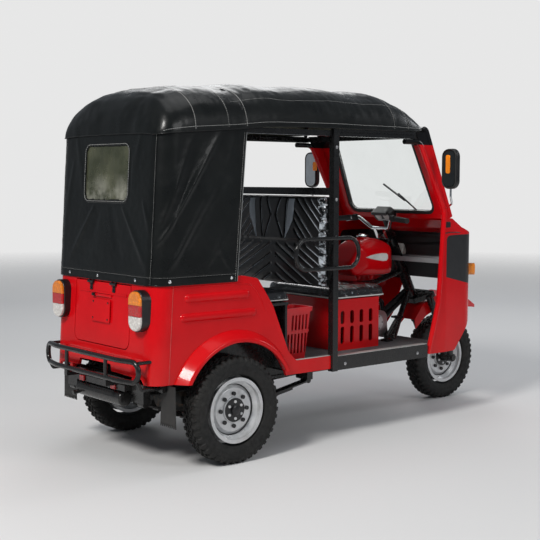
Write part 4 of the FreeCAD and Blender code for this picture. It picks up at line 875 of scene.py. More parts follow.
def curtain_surface(s, z):
    """A place on the outside of the curtain: s as in curtain_path, z its height."""
    x, y, nx, ny = curtain_path(s)
    x += LEAN * (z - CURTAIN_LOW)
    fold = fold_height(x, z, SIDE_FOLDS) * abs(ny) ** 2
    fold += fold_height(y, z, BACK_FOLDS) * abs(nx) ** 2
    fold += 1.6 * ripple(x, y, z * 0.5, 90, 2.2) + 0.7 * ripple(x, y, z, 30, 4.4)
    snug = min(max((z - FREE_Z) / 90.0, 0.0), 1.0)
    near_top = min(max((HELD_Z - z) / 60.0, 0.0), 1.0)
    window = 1.0
    if abs(nx) > 0.9 and abs(y) < 235 and 1290 < z < 1630:
        window = 0.25
    fold = fold * snug * (0.3 + 0.7 * near_top) * window
    hem = math.exp(-((z - HEM_Z) / 3.0) ** 2)
    fold += 1.2 * (1 - snug) + 0.6 * abs(ripple(x, y, z, 40, 6.0)) * (1 - snug) - 0.9 * hem
    return Vector((x + nx * fold, y + ny * fold, z))


def front_growth(z):
    """How much longer the curtain's run is at height z than at its foot, as a share of it."""
    up = z - CURTAIN_LOW
    return (CURTAIN_FRONT_RISE * up / (CURTAIN_HIGH - CURTAIN_LOW) - LEAN * up) / CURTAIN_RUN


def canopy_curtains():
    """The curtain round the back and both sides, one sheet with a window opening."""
    columns = np.linspace(-1, 1, 301)
    heights = list(np.linspace(CURTAIN_LOW, 972, 12)) + list(np.linspace(978, CURTAIN_HIGH, 104))
    points = []
    for z in heights:
        grow = front_growth(z)
        points += [curtain_surface(s * (1 + grow * abs(s) ** 6), z) for s in columns]
    count = len(columns)
    faces = []
    for face in grid_faces(len(heights), count):
        middle = sum((points[i] for i in face), Vector()) / 4
        if not (middle.x < -380 and in_window(middle.y, middle.z)):
            faces.append(face)
    used = {i for f in faces for i in f}
    for i in used:
        p = points[i]
        if p.x < -380 and in_window(p.y, p.z, 9.0):
            points[i] = window_edge(p)
    sheet = piece("canopy_curtain_skin", points, faces, "vinyl_black", smooth=60)
    thickened(sheet, SKIN, "liner")
    shade(sheet, 60)
    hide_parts("canopy_curtains")
    return sheet


WINDOW_HALF, WINDOW_LOW, WINDOW_HIGH, WINDOW_R = 200.0, 1325.0, 1597.0, 34.0
WINDOW_MIDDLE = (WINDOW_LOW + WINDOW_HIGH) / 2


def window_distance(y, z):
    """How far a place on the back is outside the window's rounded opening."""
    a = abs(y) - (WINDOW_HALF - WINDOW_R)
    b = abs(z - WINDOW_MIDDLE) - ((WINDOW_HIGH - WINDOW_LOW) / 2 - WINDOW_R)
    return math.hypot(max(a, 0), max(b, 0)) + min(max(a, b), 0) - WINDOW_R


def in_window(y, z, grow=0.0):
    return window_distance(y, z) < grow


def onto_window(y, z, grow, rounds):
    """The place moved along the back until it is grow outside the window's edge."""
    for _ in range(rounds):
        d = window_distance(y, z) - grow
        gy = window_distance(y + 0.5, z) - window_distance(y - 0.5, z)
        gz = window_distance(y, z + 0.5) - window_distance(y, z - 0.5)
        size = max(math.hypot(gy, gz), 1e-6)
        y, z = y - d * gy / size, z - d * gz / size
    return y, z


def window_edge(p):
    """The place moved along the back onto the window's edge."""
    y, z = onto_window(p.y, p.z, 0.0, 4)
    return Vector((p.x + LEAN * (z - p.z), y, z))


def window_loop(grow, count=96, lift=1.0):
    """A rounded loop on the back sheet, grow outside the window's edge."""
    loop = []
    for t in around(count):
        y, z = onto_window(260 * math.cos(t), WINDOW_MIDDLE + 190 * math.sin(t), grow, 6)
        loop.append(curtain_surface(y / CURTAIN_RUN, z) + Vector((-lift, 0, 0)))
    return loop


def curtain_trim():
    """Bindings, corner seams, front edges with a grey painted highlight, snaps and the stitched window frame.
    """
    binding, thread, studs, edging = Shapes(), Shapes(), Shapes(), Shapes()
    heights = np.linspace(CURTAIN_LOW + 2, CURTAIN_HIGH - 18, 90)
    for sign in (-1, 1):
        edge = []
        for z in heights:
            edge.append(curtain_surface(sign * (1 + front_growth(z)), z) - Vector((0, sign * 1.6, 0)))
        binding.tube(edge, 3.4)
        # the grey tube along each front edge is a painted highlight on the curtain's edge
        edging.tube([p + Vector((1.2, sign * 2.2, 0)) for p in edge], 2.6, sides=6)
        thread.stitches([p + Vector((-11, sign * 1.9, 0)) for p in edge], radius=0.7)
        corner = (CURTAIN_OUT - CURTAIN_CORNER + 40.0) / CURTAIN_RUN
        seam = [curtain_surface(sign * corner, z) for z in heights]
        out = Vector((-0.75, sign * 0.6, 0))
        binding.tube([p + out * 0.8 for p in seam], 2.6, sides=6)
        thread.stitches([p + out * 3.0 + Vector((0, -sign * 6, 0)) for p in seam], radius=0.6)
    foot = [curtain_surface(s, CURTAIN_LOW + 2.5) for s in np.linspace(-1, 1, 260)]
    binding.tube(foot, 2.8)
    thread.stitches([curtain_surface(s, 957.0) + snap_out(s) * 0.8 for s in np.linspace(-0.995, 0.995, 320)],
                    length=6, gap=4, radius=0.6)
    for s in snap_stations():
        p = curtain_surface(s, 939.0)
        studs.prism(p + snap_out(s) * 0.6, snap_out(s), 8.5, 2.0, sides=20, bevel=0.3)
        studs.prism(p + snap_out(s) * 2.0, snap_out(s), 5.5, 3.4, sides=20, bevel=0.45)
    rim = Shapes()
    for grow, r in ((4.0, 3.0), (11.0, 1.6)):
        rim.tube(window_loop(grow, lift=1.2), r, closed=True)
    flat = [window_loop(g, lift=l) for g, l in ((0.5, 1.0), (3.0, 2.6), (14.0, 2.4), (17.0, 0.4))]
    rim.add([p for loop in flat for p in loop], grid_faces(4, len(flat[0]), False, True))
    sewn = window_loop(7.5, count=220, lift=3.4)
    thread.stitches(sewn + sewn[:1], radius=1.4)
    return [binding.piece("canopy_curtain_binding", "vinyl_black", smooth=60),
            edging.piece("canopy_curtain_edge", "edge_painted_highlight", smooth=60),
            thread.piece("canopy_curtain_thread", "thread", smooth=60),
            studs.piece("canopy_curtain_snaps", "chrome"),
            rim.piece("canopy_window_frame", "vinyl_black", smooth=60)]


# Snaps: y on the back, and x along each side
BACK_SNAPS, SIDE_SNAPS = (324.0, 44.0, -306.0), (-375.0, -2.0)


def snap_stations():
    """Where the snaps are on the curtain's run, as in curtain_path."""
    sides = [sign * (CURTAIN_RUN - CURTAIN_FRONT + x) / CURTAIN_RUN for x in SIDE_SNAPS for sign in (-1, 1)]
    return [y / CURTAIN_RUN for y in BACK_SNAPS] + sides


def snap_out(s):
    _, _, nx, ny = curtain_path(s)
    return Vector((nx, ny, 0))


def rear_window():
    """Cloudy film behind the opening, slack between its stitches."""
    columns, rows = 61, 45
    points = []
    for j in range(rows):
        z = WINDOW_LOW - 12 + (WINDOW_HIGH - WINDOW_LOW + 24) * j / (rows - 1)
        for i in range(columns):
            y = (-WINDOW_HALF - 12) + (2 * WINDOW_HALF + 24) * i / (columns - 1)
            inside = max(0.0, min(1.0, -window_distance(y, z) / 40))
            slack = inside * (3.0 * ripple(0, y, z, 70, 8.0)
                              + 1.2 * ripple(0, y * 2.0, z * 0.6, 30, 2.0) - 1.5)
            points.append((CURTAIN_REAR + LEAN * (z - CURTAIN_LOW) + 4.4 + slack, y, z))
    film = piece("rear_window_film", points, grid_faces(rows, columns), "window_film", smooth=60)
    thickened(film, 0.0012)
    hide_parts("rear_window")
    return film


def soft_top():
    canopy_roof()
    sheet = canopy_curtains()
    pieces = curtain_trim() + [rear_window()]


# Seats

CLOTH = {"use_pressure": True, "uniform_pressure_force": 4.0, "quality": 4, "tension_stiffness": 12,
         "compression_stiffness": 12, "bending_stiffness": 0.4}
CLOTH_FRAMES = 20


def swollen(name, node, voxel=0.009, shrink=0.006, cap=0.010, flat_below=None):
    """A cushion from its plain solid: remeshed, blown up by cloth simulation with a cap, and subdivided."""
    pad = copied(frame["nodes"][node], name, "seat_vinyl")
    low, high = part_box(node)
    middle = (low + high) / 2
    for v in pad.data.vertices:
        for k in range(3):
            half = (high[k] - low[k]) / 2
            v.co[k] = middle[k] + (v.co[k] - middle[k]) * (half - shrink) / half
        if flat_below is not None:
            v.co.z -= shrink * (1 if v.co.z < middle.z else 0)
    remesh = pad.modifiers.new("remesh", "REMESH")
    remesh.mode = "VOXEL"
    remesh.voxel_size = voxel
    baked(pad)
    start = np.array([v.co for v in pad.data.vertices])
    held = pad.vertex_groups.new(name="held")
    rest = [v.index for v in pad.data.vertices if flat_below is not None and v.co.z < low.z + flat_below]
    held.add(rest, 1.0, "REPLACE")
    cloth = pad.modifiers.new("cloth", "CLOTH")
    for setting, value in CLOTH.items():
        setattr(cloth.settings, setting, value)
    cloth.settings.effector_weights.gravity = 0.0
    cloth.point_cache.frame_start, cloth.point_cache.frame_end = 1, CLOTH_FRAMES
    if rest:
        cloth.settings.vertex_group_mass = "held"
    for step in range(1, CLOTH_FRAMES + 1):
        bpy.context.scene.frame_set(step)
    shape = bpy.data.meshes.new_from_object(pad.evaluated_get(bpy.context.evaluated_depsgraph_get()))
    end = np.array([v.co for v in shape.vertices])
    pad.modifiers.clear()
    bpy.context.scene.frame_set(1)
    move = end - start
    size = np.linalg.norm(move, axis=1, keepdims=True)
    move *= np.minimum(1.0, cap / np.maximum(size, 1e-9))
    pad.data.vertices.foreach_set("co", (start + move).ravel())
    smooth = pad.modifiers.new("smooth", "SMOOTH")
    smooth.iterations = 3
    smooth.factor = 0.5
    finer = pad.modifiers.new("finer", "SUBSURF")
    finer.levels = finer.render_levels = 1
    baked(pad)
    shade(pad, 80)
    return pad


def pressed(pad, change):
    """Move each point by change(place in millimetres, normal), which gives millimetres."""
    mesh = pad.data
    normals = [v.normal.copy() for v in mesh.vertices]
    moved = []
    for v, n in zip(mesh.vertices, normals):
        moved += (v.co + change(in_millimetres(v.co), n) / 1000)[:]
    mesh.vertices.foreach_set("co", moved)
    mesh.update()


def groove(distance, deep, wide):
    """Depth of a soft groove at a distance from its line, as a negative number."""
    return -deep * math.exp(-(distance / wide) ** 2)


def surface_loop(pad, node, z, out=0.0, count=160):
    """A loop of places round a pad at height z, found by looking inward at its sides."""
    low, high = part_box(node)
    middle = (low + high) / 2
    tree = ray_tree(pad)
    loop = []
    for t in around(count):
        c, s = math.cos(t), math.sin(t)
        reach = Vector((0.6 * math.copysign(abs(c) ** 0.35, c) * (high.x - low.x),
                        0.6 * math.copysign(abs(s) ** 0.35, s) * (high.y - low.y), 0))
        begin = Vector((middle.x, middle.y, z / 1000)) + reach * 1.4
        hit = tree.ray_cast(begin, -reach.normalized())[0]
        if hit:
            loop.append(in_millimetres(hit + reach.normalized() * out / 1000))
    return loop


def sewn_lines(pad, facing, across, places, deep, wide):
    """Press a groove along each of the places, which lie across the pad's side that looks along facing."""
    pressed(pad, lambda p, n: n * (groove(min(abs(p[across] - place) for place in places), deep, wide)
                                   if n[facing] >= 0.3 else 0.0))


BENCH_LINES = (-300, -150, 0, 150, 300)
DRIVER_LINES = (980, 1080, 1180)


def cushions():
    bench = swollen("passenger_cushion_pad", "passenger_cushion", cap=0.011, flat_below=0.012)
    sewn_lines(bench, 2, 1, BENCH_LINES, 5.0, 9.0)
    driver = swollen("driver_cushion_pad", "driver_cushion", cap=0.011, flat_below=0.012)
    sewn_lines(driver, 2, 0, DRIVER_LINES, 4.0, 8.0)
    back = swollen("passenger_backrest_pad", "passenger_backrest", cap=0.010)
    sewn_lines(back, 0, 1, BENCH_LINES, 4.5, 9.0)
    panel = swollen("driver_backrest_pad", "driver_backrest", cap=0.006, shrink=0.004, voxel=0.007)
    quilt(panel)
    for pad, node in ((bench, "passenger_cushion"), (driver, "driver_cushion"),
                      (back, "passenger_backrest"), (panel, "driver_backrest")):
        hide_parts(node)
        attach(pad, "chassis")
    piping = Shapes()
    for pad, node, z, size in ((driver, "driver_cushion", 758.0, 4.2),
                               (bench, "passenger_cushion", 797.0, 3.2)):
        piping.tube(surface_loop(pad, node, z, out=1.0), size, sides=7, closed=True)
    top = [Vector((709 - 31, y, 1338 + 1.5 * ripple(0, y, 0, 60))) for y in np.linspace(-440, 440, 60)]
    piping.tube(top, 2.6, sides=7)
    piping.piece("seat_piping", "piping_white", smooth=60)
    for pad, cut, rest in ((driver, (0.55, 0.74), "driver_cushion_pad"),
                           (bench, (0.58, 1.03), "passenger_cushion_pad")):
        wrapped(pad)
    backrest_trim(panel)


# metres above a pad's foot at which its film ends
WRAP_FOOT = 0.012


def wrapped(pad):
    """Loose clear film over a cushion: its top and sides, lifted and crumpled."""
    film = copied(pad, pad.name.replace("pad", "film"), "clear_wrap")
    mesh = film.data
    made = bmesh.new()
    made.from_mesh(mesh)
    low = min(v.co.z for v in made.verts)
    under = [f for f in made.faces if f.normal.z < -0.35 or f.calc_center_median().z < low + WRAP_FOOT]
    bmesh.ops.delete(made, geom=under, context="FACES")
    made.to_mesh(mesh)
    made.free()
    pressed(film, lambda p, n: n * (1.4 + 2.4 * abs(ripple(p.x * 0.5, p.y, p.z, 38, 1.0))
                                    + 1.6 * abs(ripple(p.x, p.y, p.z, 17, 3.0))))
    shade(film, 80)
    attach(film, "chassis")
    return film


# Pale ribbons sewn down the driver's backrest: z, y of one edge, y of the other
RIBBONS = [
    [(1322, 216, 170), (1260, 217, 166), (1225, 216, 162), (1190, 200, 160), (1150, 180, 157),
     (1100, 155, 151)],
    [(1322, -132, -181), (1260, -122, -176), (1205, -114, -167), (1150, -104, -134), (1100, -94, -98)],
]
# share of a ribbon's width, and how far it stands out there
RIBBON_SECTION = ((0.0, 0.2), (0.08, 1.8), (0.5, 2.4), (0.92, 1.8), (1.0, 0.2))
# y of both edges of the backrest's film, and z of its top and its foot
FILM_EDGE = (-446.0, -388.0)
FILM_TOP, FILM_LOW = 1334, 850
# middle plane of the driver's backrest
PANEL_X = 709


def backrest_trim(panel):
    """Ribbons, pale tubes along the quilting as painted highlights, and the strip of crumpled film with
    painted highlight streaks on the driver's backrest.
    """
    tree = ray_tree(panel)

    def on_panel(y, z, out):
        hit = tree.ray_cast(at(PANEL_X - 120, y, z), Vector((1, 0, 0)))[0]
        return Vector(((hit.x * 1000 + MID_X if hit else PANEL_X - 30) - out, y, z))

    ribbons, lines, film = Shapes(), Shapes(), Shapes()
    for rows in RIBBONS:
        zs, *edges = zip(*rows[::-1])
        points = []
        for z in np.linspace(zs[-1], zs[0], 30):
            a, b = (float(np.interp(z, zs, edge)) for edge in edges)
            points += [on_panel(a + (b - a) * t, z, out) for t, out in RIBBON_SECTION]
        ribbons.add(points, grid_faces(30, len(RIBBON_SECTION)))
    # pale tubes along the quilting lines: painted highlights on the plastic-wrapped backrest
    for y0, z0, y1, z1 in QUILT_LINES:
        for sign in (-1, 1):
            path = [on_panel(sign * (y0 + (y1 - y0) * t), z0 + (z1 - z0) * t, 0.6)
                    for t in np.linspace(0.04, 0.96, 24)]
            lines.tube(path, [0.5 + 1.5 * math.sin(math.pi * i / 23) for i in range(24)], sides=6)
    rows, columns = 90, 9
    points = []
    for j in range(rows):
        z = FILM_TOP - (FILM_TOP - FILM_LOW) * j / (rows - 1)
        for i in range(columns):
            y = FILM_EDGE[0] + (FILM_EDGE[1] - FILM_EDGE[0]) * i / (columns - 1) + 9 * ripple(0, i * 3, z, 30)
            lift = 4.0 + 3.0 * ripple(0, y * 1.5, z, 16) + 2.0 * ripple(0, y, z, 7)
            points.append(on_panel(max(y, -447), z, lift))
    film.add(points, grid_faces(rows, columns))
    ribbons.piece("backrest_ribbons", "ribbon", smooth=60)
    lines.piece("backrest_painted_highlights", "ribbon", smooth=60)
    strip = film.piece("backrest_film", "crinkle", smooth=0)


def chevron(y, z, fall, low):
    """A sewn line that runs outward and down from (y, z) to the panel's edge or to height low."""
    far = min(444.0, y + (z - low) / fall)
    return y, z, far, z - fall * (far - y)


# Quilting of the driver's backrest: lines from (y, z) to (y, z), mirrored to the other side
QUILT_LINES = (
    [chevron(y, 1328, 0.96, 1098) for y in (196, 250, 304, 358)]
    + [chevron(182, z, 1.05, 1098) for z in (1262, 1204, 1150)]
    + [chevron(y, 1066, 0.54, 846) for y in (30, 110, 190, 270, 350)]
    + [chevron(26, z, 0.54, 846) for z in (1008, 948, 890)]
    + [(60, 1325, 20, 1230), (20, 1230, 78, 1108), (118, 1325, 98, 1108)]
)


def near_line(y, z, line):
    """Distance from (y, z) to a line from (y, z) to (y, z)."""
    y0, z0, y1, z1 = line
    ry, rz = y1 - y0, z1 - z0
    k = min(max(((y - y0) * ry + (z - z0) * rz) / (ry * ry + rz * rz), 0.0), 1.0)
    return math.hypot(y - y0 - k * ry, z - z0 - k * rz)


def quilt(panel):
    """Press the quilting's lines and the band across the middle into both faces of the backrest."""
    def press(p, n):
        if abs(n.x) < 0.4:
            return n * 0.0
        y = abs(p.y)
        d = min(near_line(y, p.z, line) for line in QUILT_LINES)
        band = 3.0 * math.exp(-((p.z - 1080) / 14) ** 4)
        return n * (groove(d, 4.2, 7.0) - band)
    pressed(panel, press)


# Wheels

WHEELS = {
    "rear_wheel_right": (Vector((0, -485, 272)), -1),
    "rear_wheel_left": (Vector((0, 485, 272)), 1),
    "front_wheel": (Vector((2115, 0, 272)), -1),
}
# radius and distance from the middle plane of the tyre's carcass, from bead to the tread's middle
CARCASS = [(180.3, 44), (183, 49), (192, 52.5), (205, 55.5), (222, 57.4), (236, 57.6), (247, 56), (256, 52.5),
           (262, 47), (264.5, 38), (265.5, 20), (265.8, 0)]
LUGS = 44
# radius and distance from the middle plane along a shoulder lug, and where it is rooted
LUG_SIDE = [(244.5, 58.0), (252.0, 57.2), (260.0, 54.0), (268.5, 49.5), (271.8, 44.0), (272.0, 27.0)]
LUG_ROOT = [(244.0, 55.0), (251.0, 53.0), (256.0, 49.0), (260.0, 45.0), (262.0, 40.0), (262.0, 27.0)]
# the rows of centre blocks: their inner and outer edge, and how many lugs they are turned by
BLOCK_ROWS = ((3.0, 12.0, 0.0), (14.5, 23.5, 0.5))
# radius and height of the rings on the sidewall
WALL_RINGS = ((188.5, 1.0), (214.0, 0.7), (241.0, 0.9))


def on_wheel(centre, radius, across, angle):
    """A place on a wheel: radius and angle about its axle, across along it."""
    return centre + Vector((radius * math.cos(angle), across, radius * math.sin(angle)))


def tyre(wheel, node):
    """Carcass with sidewall rings, two rows of centre blocks and shoulder lugs that run over the edge."""
    centre = WHEELS[wheel][0]
    shape = Shapes()
    profile = CARCASS + [(r, -y) for r, y in reversed(CARCASS[:-1])]
    profile += [(180.3, -30), (180.3, 30)]
    turns = 120
    points = [on_wheel(centre, r, y, t) for t in around(turns) for r, y in profile]
    shape.add(points, grid_faces(turns, len(profile), True, True))
    for side in (-1, 1):
        for ring, tall in WALL_RINGS:
            across = np.interp(ring, [c[0] for c in CARCASS], [c[1] for c in CARCASS]) * side
            shape.tube([on_wheel(centre, ring, across, t) for t in around(96)], tall, 6, True)
    step = 2 * math.pi / LUGS
    for side in (-1, 1):
        for k in range(LUGS):
            begin = k * step + (0.5 * step if side > 0 else 0)
            rows = []
            for t in (0.0, 0.12, 0.55, 0.67):
                line = LUG_SIDE if 0.05 < t < 0.6 else LUG_ROOT
                rows += [on_wheel(centre, r, y * side, begin + t * step) for r, y in line]
            count = len(LUG_SIDE)
            inner_end = tuple(row * count for row in range(4))
            outer_end = tuple(row * count - 1 for row in (1, 4, 3, 2))
            shape.add(rows, grid_faces(4, count) + [inner_end, outer_end])
            for inner, outer, shift in BLOCK_ROWS:
                a0 = (k + shift) * step + (0.25 * step if side > 0 else 0)
                ring = []
                for r, grow in ((262.0, 1.0), (270.5, 1.0), (272.0, 0.88)):
                    for y, t in ((inner, 0.0), (outer, 0.1), (outer, 0.66), (inner, 0.56)):
                        middle_y, middle_t = (inner + outer) / 2, 0.33
                        ring.append(on_wheel(centre, r, side * (middle_y + (y - middle_y) * grow),
                                             a0 + (middle_t + (t - middle_t) * grow) * step))
                shape.add(ring, open_backed(3, 4))
    made = shape.piece(node + "_tread", "tyre", wheel, smooth=28)
    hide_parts(node)


# faces on a wheel's outer side, measured outward from its middle plane
DISC_FACE, HUB_FACE = 16.0, 26.0
# radius of the ring of hub bolts, and of the dark discs painted as shade in the disc's holes and their ring
BOLT_R, HOLE_SHADE_R, HOLE_RING = 42.9, 10.5, 82.6
# radius of the gap round the disc, where a dark ring is painted as shade, and radius and angle of the valve's
# place
GAP_R, VALVE_R, VALVE_ANGLE = 129.0, 148.0, 4.4


def wheel_trim(wheel):
    """Hub cap and bolts, dark discs as painted shade in the disc's holes, a dark ring as painted shade in the
    gap round the disc, and the valve.
    """
    centre, side = WHEELS[wheel]
    nuts, dark = Shapes(), Shapes()
    axis = Vector((0, side, 0))
    dark.prism(centre + axis * (HUB_FACE + 0.3), axis, 61, 4.5, sides=48, bevel=0.3)
    dark.prism(centre + axis * (HUB_FACE + 4.0), axis, 25, 15, sides=36, bevel=0.3)
    # a dark ring of painted shade in the gap round the disc
    dark.tube([on_wheel(centre, GAP_R, side * 1.5, t) for t in around(72)], 2.6, 6, True)
    # dark discs of painted shade in the disc's holes
    for angle in around(8):
        place = on_wheel(centre, HOLE_RING, 0, angle) + axis * (DISC_FACE - 0.5)
        dark.prism(place, axis, HOLE_SHADE_R, 12.3, sides=24)
    for angle in around(6, 0.5):
        nuts.prism(on_wheel(centre, BOLT_R, 0, angle) + axis * (HUB_FACE + 4.0), axis, 7.6, 7.5, sides=6)
    valve = on_wheel(centre, VALVE_R, 0, VALVE_ANGLE) + axis * (DISC_FACE + 6)
    nuts.prism(valve, (0.3, side, 0.8), 3.2, 26, sides=10)
    dark.piece(wheel + "_hub_cap", "black_plastic", wheel)
    nuts.piece(wheel + "_nuts", "cover_silver", wheel)


def rounded_loop(a, b, half_a, half_b, radius, steps=6):
    """Places (a, b) round a rectangle with round corners."""
    loop = []
    for k, (sa, sb) in enumerate(((1, 1), (-1, 1), (-1, -1), (1, -1))):
        for i in range(steps + 1):
            t = math.pi / 2 * (k + i / steps)
            loop.append((a + sa * (half_a - radius) + radius * math.cos(t),
                         b + sb * (half_b - radius) + radius * math.sin(t)))
    return loop


# x, z of the line pressed into each side below the curtain and down its front edge
PRESSED_LINE = [(-362, 907), (-131, 908), (70, 906), (122, 899), (160, 868), (196, 815), (224, 762),
                (246, 716)]

# x of the seam behind each side panel, at the tail's foot
SEAM_FOOT_X = -378
# x, x, z of the ribs pressed into each side, and their section as y and half height
SIDE_RIBS = [(-276, 111, 850), (-302, 158, 756)]
RIB_SECTION = [(479.5, 21), (483, 19), (487.4, 14.2), (489.4, 9), (489.8, 3)]

# x, y, z of the bolts on the left pillar and sill, mirrored to the right
FRAME_BOLTS = [(709, 494, 1322), (709, 494, 1118), (709, 494, 952), (709, 494, 1602), (797, 480, 420),
               (1380, 480, 420)]


# z of the line through the number plate's clamp
CLAMP_Z = 842


def body_details():
    """Seams, pressed lines, screws and the small fittings on the tail and the sides."""
    seam, line, screws, bracket, clamp, alloy, ribs = (Shapes() for _ in range(7))
    for sign in (-1, 1):
        for x0, x1, z in SIDE_RIBS:
            loops = [rounded_loop((x0 + x1) / 2, z, (x1 - x0) / 2 + half - 13, half, half - 0.5)
                     for _, half in RIB_SECTION]
            ribs.add([(a, sign * out, b) for (out, _), loop in zip(RIB_SECTION, loops) for a, b in loop],
                     open_backed(len(loops), len(loops[0])))
        # the pale seam tube's colour is a painted highlight along the seam behind each side panel
        seam.tube([(SEAM_FOOT_X + LEAN * (z - TAIL_FOOT_Z), sign * 480.2, z)
                   for z in np.linspace(439, 915, 12)], 1.1, sides=6)
        pressing = curve_through([(x, z, 0) for x, z in PRESSED_LINE], 50)
        line.tube([(q.x, sign * 479.3, q.y) for q in pressing],
                  [3.4] * (len(pressing) - 14) + [3.4 - 0.2 * k for k in range(14)], sides=8)
        strips = ((441, 684, -479, -463, 474.2, 477.5), (732, 1462, -479, -441, 465.2, 468.5))
        for x0, x1, y0, y1, z0, z1 in strips:
            low, high = sorted((sign * y0, sign * y1))
            alloy.block((x0, low, z0), (x1, high, z1), 0.8)
    for y in (-70, 70):
        for z in (722, 806):
            screws.prism((tail_x(z) - 10, y, z), (-1, 0, 0), 5.2, 3.0, sides=12, bevel=0.4)
    for y in (-108, 108):
        for z in (872, 888):
            screws.prism((tail_x(z) - 4.2, y, z), (-1, 0, 0), 4.6, 3.2, sides=6)
    x = tail_x(CLAMP_Z)
    bracket.block((x - 8, -93, 835), (x + 0.2, 68, 848), 1.5)
    clamp.block((x - 15, 60, 834), (x - 1, 82, 849), 2.0)
    clamp.prism((x - 14, 71, CLAMP_Z), (-1, 0, 0), 6.0, 7.0, sides=14)
    bolts = Shapes()
    for sign in (-1, 1):
        for x, y, z in FRAME_BOLTS:
            bolts.prism((x, sign * y, z), (0, sign, 0), 7.0, 4.5, sides=6)
            bolts.prism((x, sign * y, z), (0, sign, 0), 9.5, 1.6, sides=20)
    seam.piece("body_corner_seams", "seam_painted_highlight", smooth=60)
    line.piece("body_pressed_lines", "body_red", smooth=60)
    ribs.piece("body_side_ribs", "body_red", smooth=60)
    screws.piece("gate_screws", "frame_black", "tailgate")
    bracket.piece("plate_bracket", "body_red", "tailgate")
    clamp.piece("plate_clamp", "black_plastic", "tailgate")
    bolts.piece("frame_bolts", "steel")
    alloy.piece("floor_edge_strips", "scuffed_alloy")


def face_plate(shape, y, z, half_y, half_z, radius, x, out):
    """A thin plate with round corners that faces the rear."""
    shape.slab([(x, a, b) for a, b in rounded_loop(y, z, half_y, half_z, radius)], (out, 0, 0))


# y and z of the left mirror's middle
MIRROR_Y, MIRROR_Z = 596, 1493


def mirror_details():
    """Glass and an amber strip on each mirror's rear face. The right mirror's glass is dark plastic, a
    painted dark reflection.
    """
    bright, dark, amber, rims = (Shapes() for _ in range(4))
    for sign, glass in ((1, bright), (-1, dark)):
        face_plate(glass, sign * MIRROR_Y, MIRROR_Z, 46, 104, 36, 1499.8, -1.6)
        edge = rounded_loop(sign * MIRROR_Y, MIRROR_Z, 50, 109, 40)
        rims.tube([(1499, a, b) for a, b in edge], 3.6, 8, True)
    for y, z, half_y, half_z in ((551, 1515, 20, 29), (-589, 1519, 16, 53)):
        face_plate(amber, y, z, half_y, half_z, 10, 1498.0, -2.4)
    bright.piece("mirror_glass_left", "mirror_glass")
    # the right mirror's glass is dark plastic, a painted dark reflection
    dark.piece("mirror_glass_right", "mirror_painted_reflection")
    amber.piece("mirror_lamps", "lamp_amber")
    rims.piece("mirror_rims", "rubber_black", smooth=60)


# x of the tank's cap
CAP_X = 1394
BADGE_MIDDLE = (1400, 957)
# x, z round the tank's badge, from its point at the back
BADGE = [(1313, 962), (1350, 973), (1400, 980), (1450, 983), (1486, 981), (1499, 970), (1500, 950),
         (1490, 936), (1460, 934), (1410, 941), (1355, 952)]


def softened(name, node, material, voxel, rounds):
    """A copy of a node's solid with its edges blended, standing for it."""
    made = copied(frame["nodes"][node], name, material)
    remesh = made.modifiers.new("remesh", "REMESH")
    remesh.mode, remesh.voxel_size = "VOXEL", voxel
    smooth = made.modifiers.new("smooth", "SMOOTH")
    smooth.factor, smooth.iterations = 0.5, rounds
    baked(made)
    shade(made, 80)
    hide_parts(node)
    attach(made, "chassis")
    return made


def fuel_tank():
    """Rounded tank with its blank badges and a chromed cap."""
    tank = softened("fuel_tank_shell", "fuel_tank", "body_red", 0.006, 44)
    tree = ray_tree(tank)
    badge, cap = Shapes(), Shapes()
    for sign in (-1, 1):
        inward = Vector((0, -sign, 0))
        hits = [tree.ray_cast(at(x, sign * 300, z), inward)[0] for x, z in BADGE + [BADGE_MIDDLE]]
        depths = [abs(hit.y) * 1000 for hit in hits if hit]
        low, high = min(depths), max(depths) + 2.5
        badge.slab([(x, sign * low, z) for x, z in BADGE], (0, sign * (high - low), 0), 0.10)
    cap.prism((CAP_X, 0, 1080), (0, 0, 1), 37, 12, sides=48, bevel=0.3)
    cap.prism((CAP_X, 0, 1089), (0, 0, 1), 25, 8, sides=40, bevel=0.35)
    cap.block((CAP_X - 20, -5, 1094), (CAP_X + 20, 5, 1102), 2.0)
    badge.piece("tank_badges", "piping_white", smooth=30)
    cap.piece("tank_cap", "chrome")


# middle of the instrument cluster, and how far its face leans back
POD_AT, POD_LEAN = Vector((1590, 0, 1216)), math.radians(-38)
# x, z of the middle of the engine's round covers
ENGINE_X, ENGINE_Z = 1418, 560
# x, z of the groove over the front mask, on each side, drawn as a dark tube of painted shade
MASK_GROOVE = [(1612, 1110), (1660, 1117), (1720, 1116), (1758, 1112)]


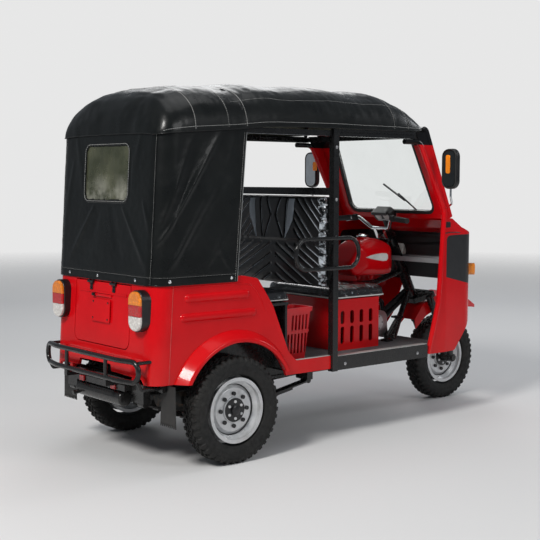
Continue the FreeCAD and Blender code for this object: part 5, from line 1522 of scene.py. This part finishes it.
def cab_details():
    """Dials and trim of the instrument cluster, engine covers, and the cab's vents, with its grooves as dark
    tubes of painted shade.
    """
    face, dark, silver, chrome = (Shapes() for _ in range(4))
    tilt = Matrix.Rotation(POD_LEAN, 3, "Y")

    def on_pod(x, y, z):
        return tilt @ Vector((x, y, z)) + POD_AT

    for y, size in ((-33, 25), (33, 25)):
        silver.prism(on_pod(-26.5, y, 2), tilt @ Vector((-1, 0, 0)), size, 3.0, sides=36, bevel=0.2)
        face.prism(on_pod(-29.0, y, 2), tilt @ Vector((-1, 0, 0)), size - 4, 1.2, sides=36, bevel=0.1)
    silver.slab([on_pod(-26.5, a, b) for a, b in rounded_loop(0, -24, 52, 7, 5)], tilt @ Vector((-2.5, 0, 0)))
    face.piece("cluster_dials", "piping_white", "fork")
    silver.piece("cluster_trim", "cover_silver", "fork")
    for sign in (-1, 1):
        chrome.prism((ENGINE_X, sign * 111.5, ENGINE_Z), (0, sign, 0), 47, 7, sides=48, bevel=0.25)
        chrome.prism((ENGINE_X, sign * 117, ENGINE_Z), (0, sign, 0), 20, 6, sides=32, bevel=0.3)
        for angle in around(5):
            bolt = (ENGINE_X + 37 * math.cos(angle), sign * 118, ENGINE_Z + 37 * math.sin(angle))
            dark.prism(bolt, (0, sign, 0), 4, 3)
        dark.slab([(a, sign * 466.3, b) for a, b in rounded_loop(1650, 1163, 20, 17, 7)], (0, sign * 2.0, 0))
        # the groove over the front mask is a dark tube of painted shade
        dark.tube([(x, sign * 466.5, z) for x, z in MASK_GROOVE], 2.6, 8)
    chrome.piece("engine_covers", "cover_silver")
    dark.piece("cab_dark_trim_and_painted_shade", "black_plastic")


make_camera()
make_lights()
make_floor()
dress_cad_nodes()
soft_top()
cushions()
body_details()
mirror_details()
fuel_tank()
cab_details()
for wheel, node in (("rear_wheel_right", "rear_tyre_right"), ("rear_wheel_left", "rear_tyre_left"),
                    ("front_wheel", "front_tyre")):
    tyre(wheel, node)
    wheel_trim(wheel)

bpy.context.scene.view_settings.view_transform = "Standard"
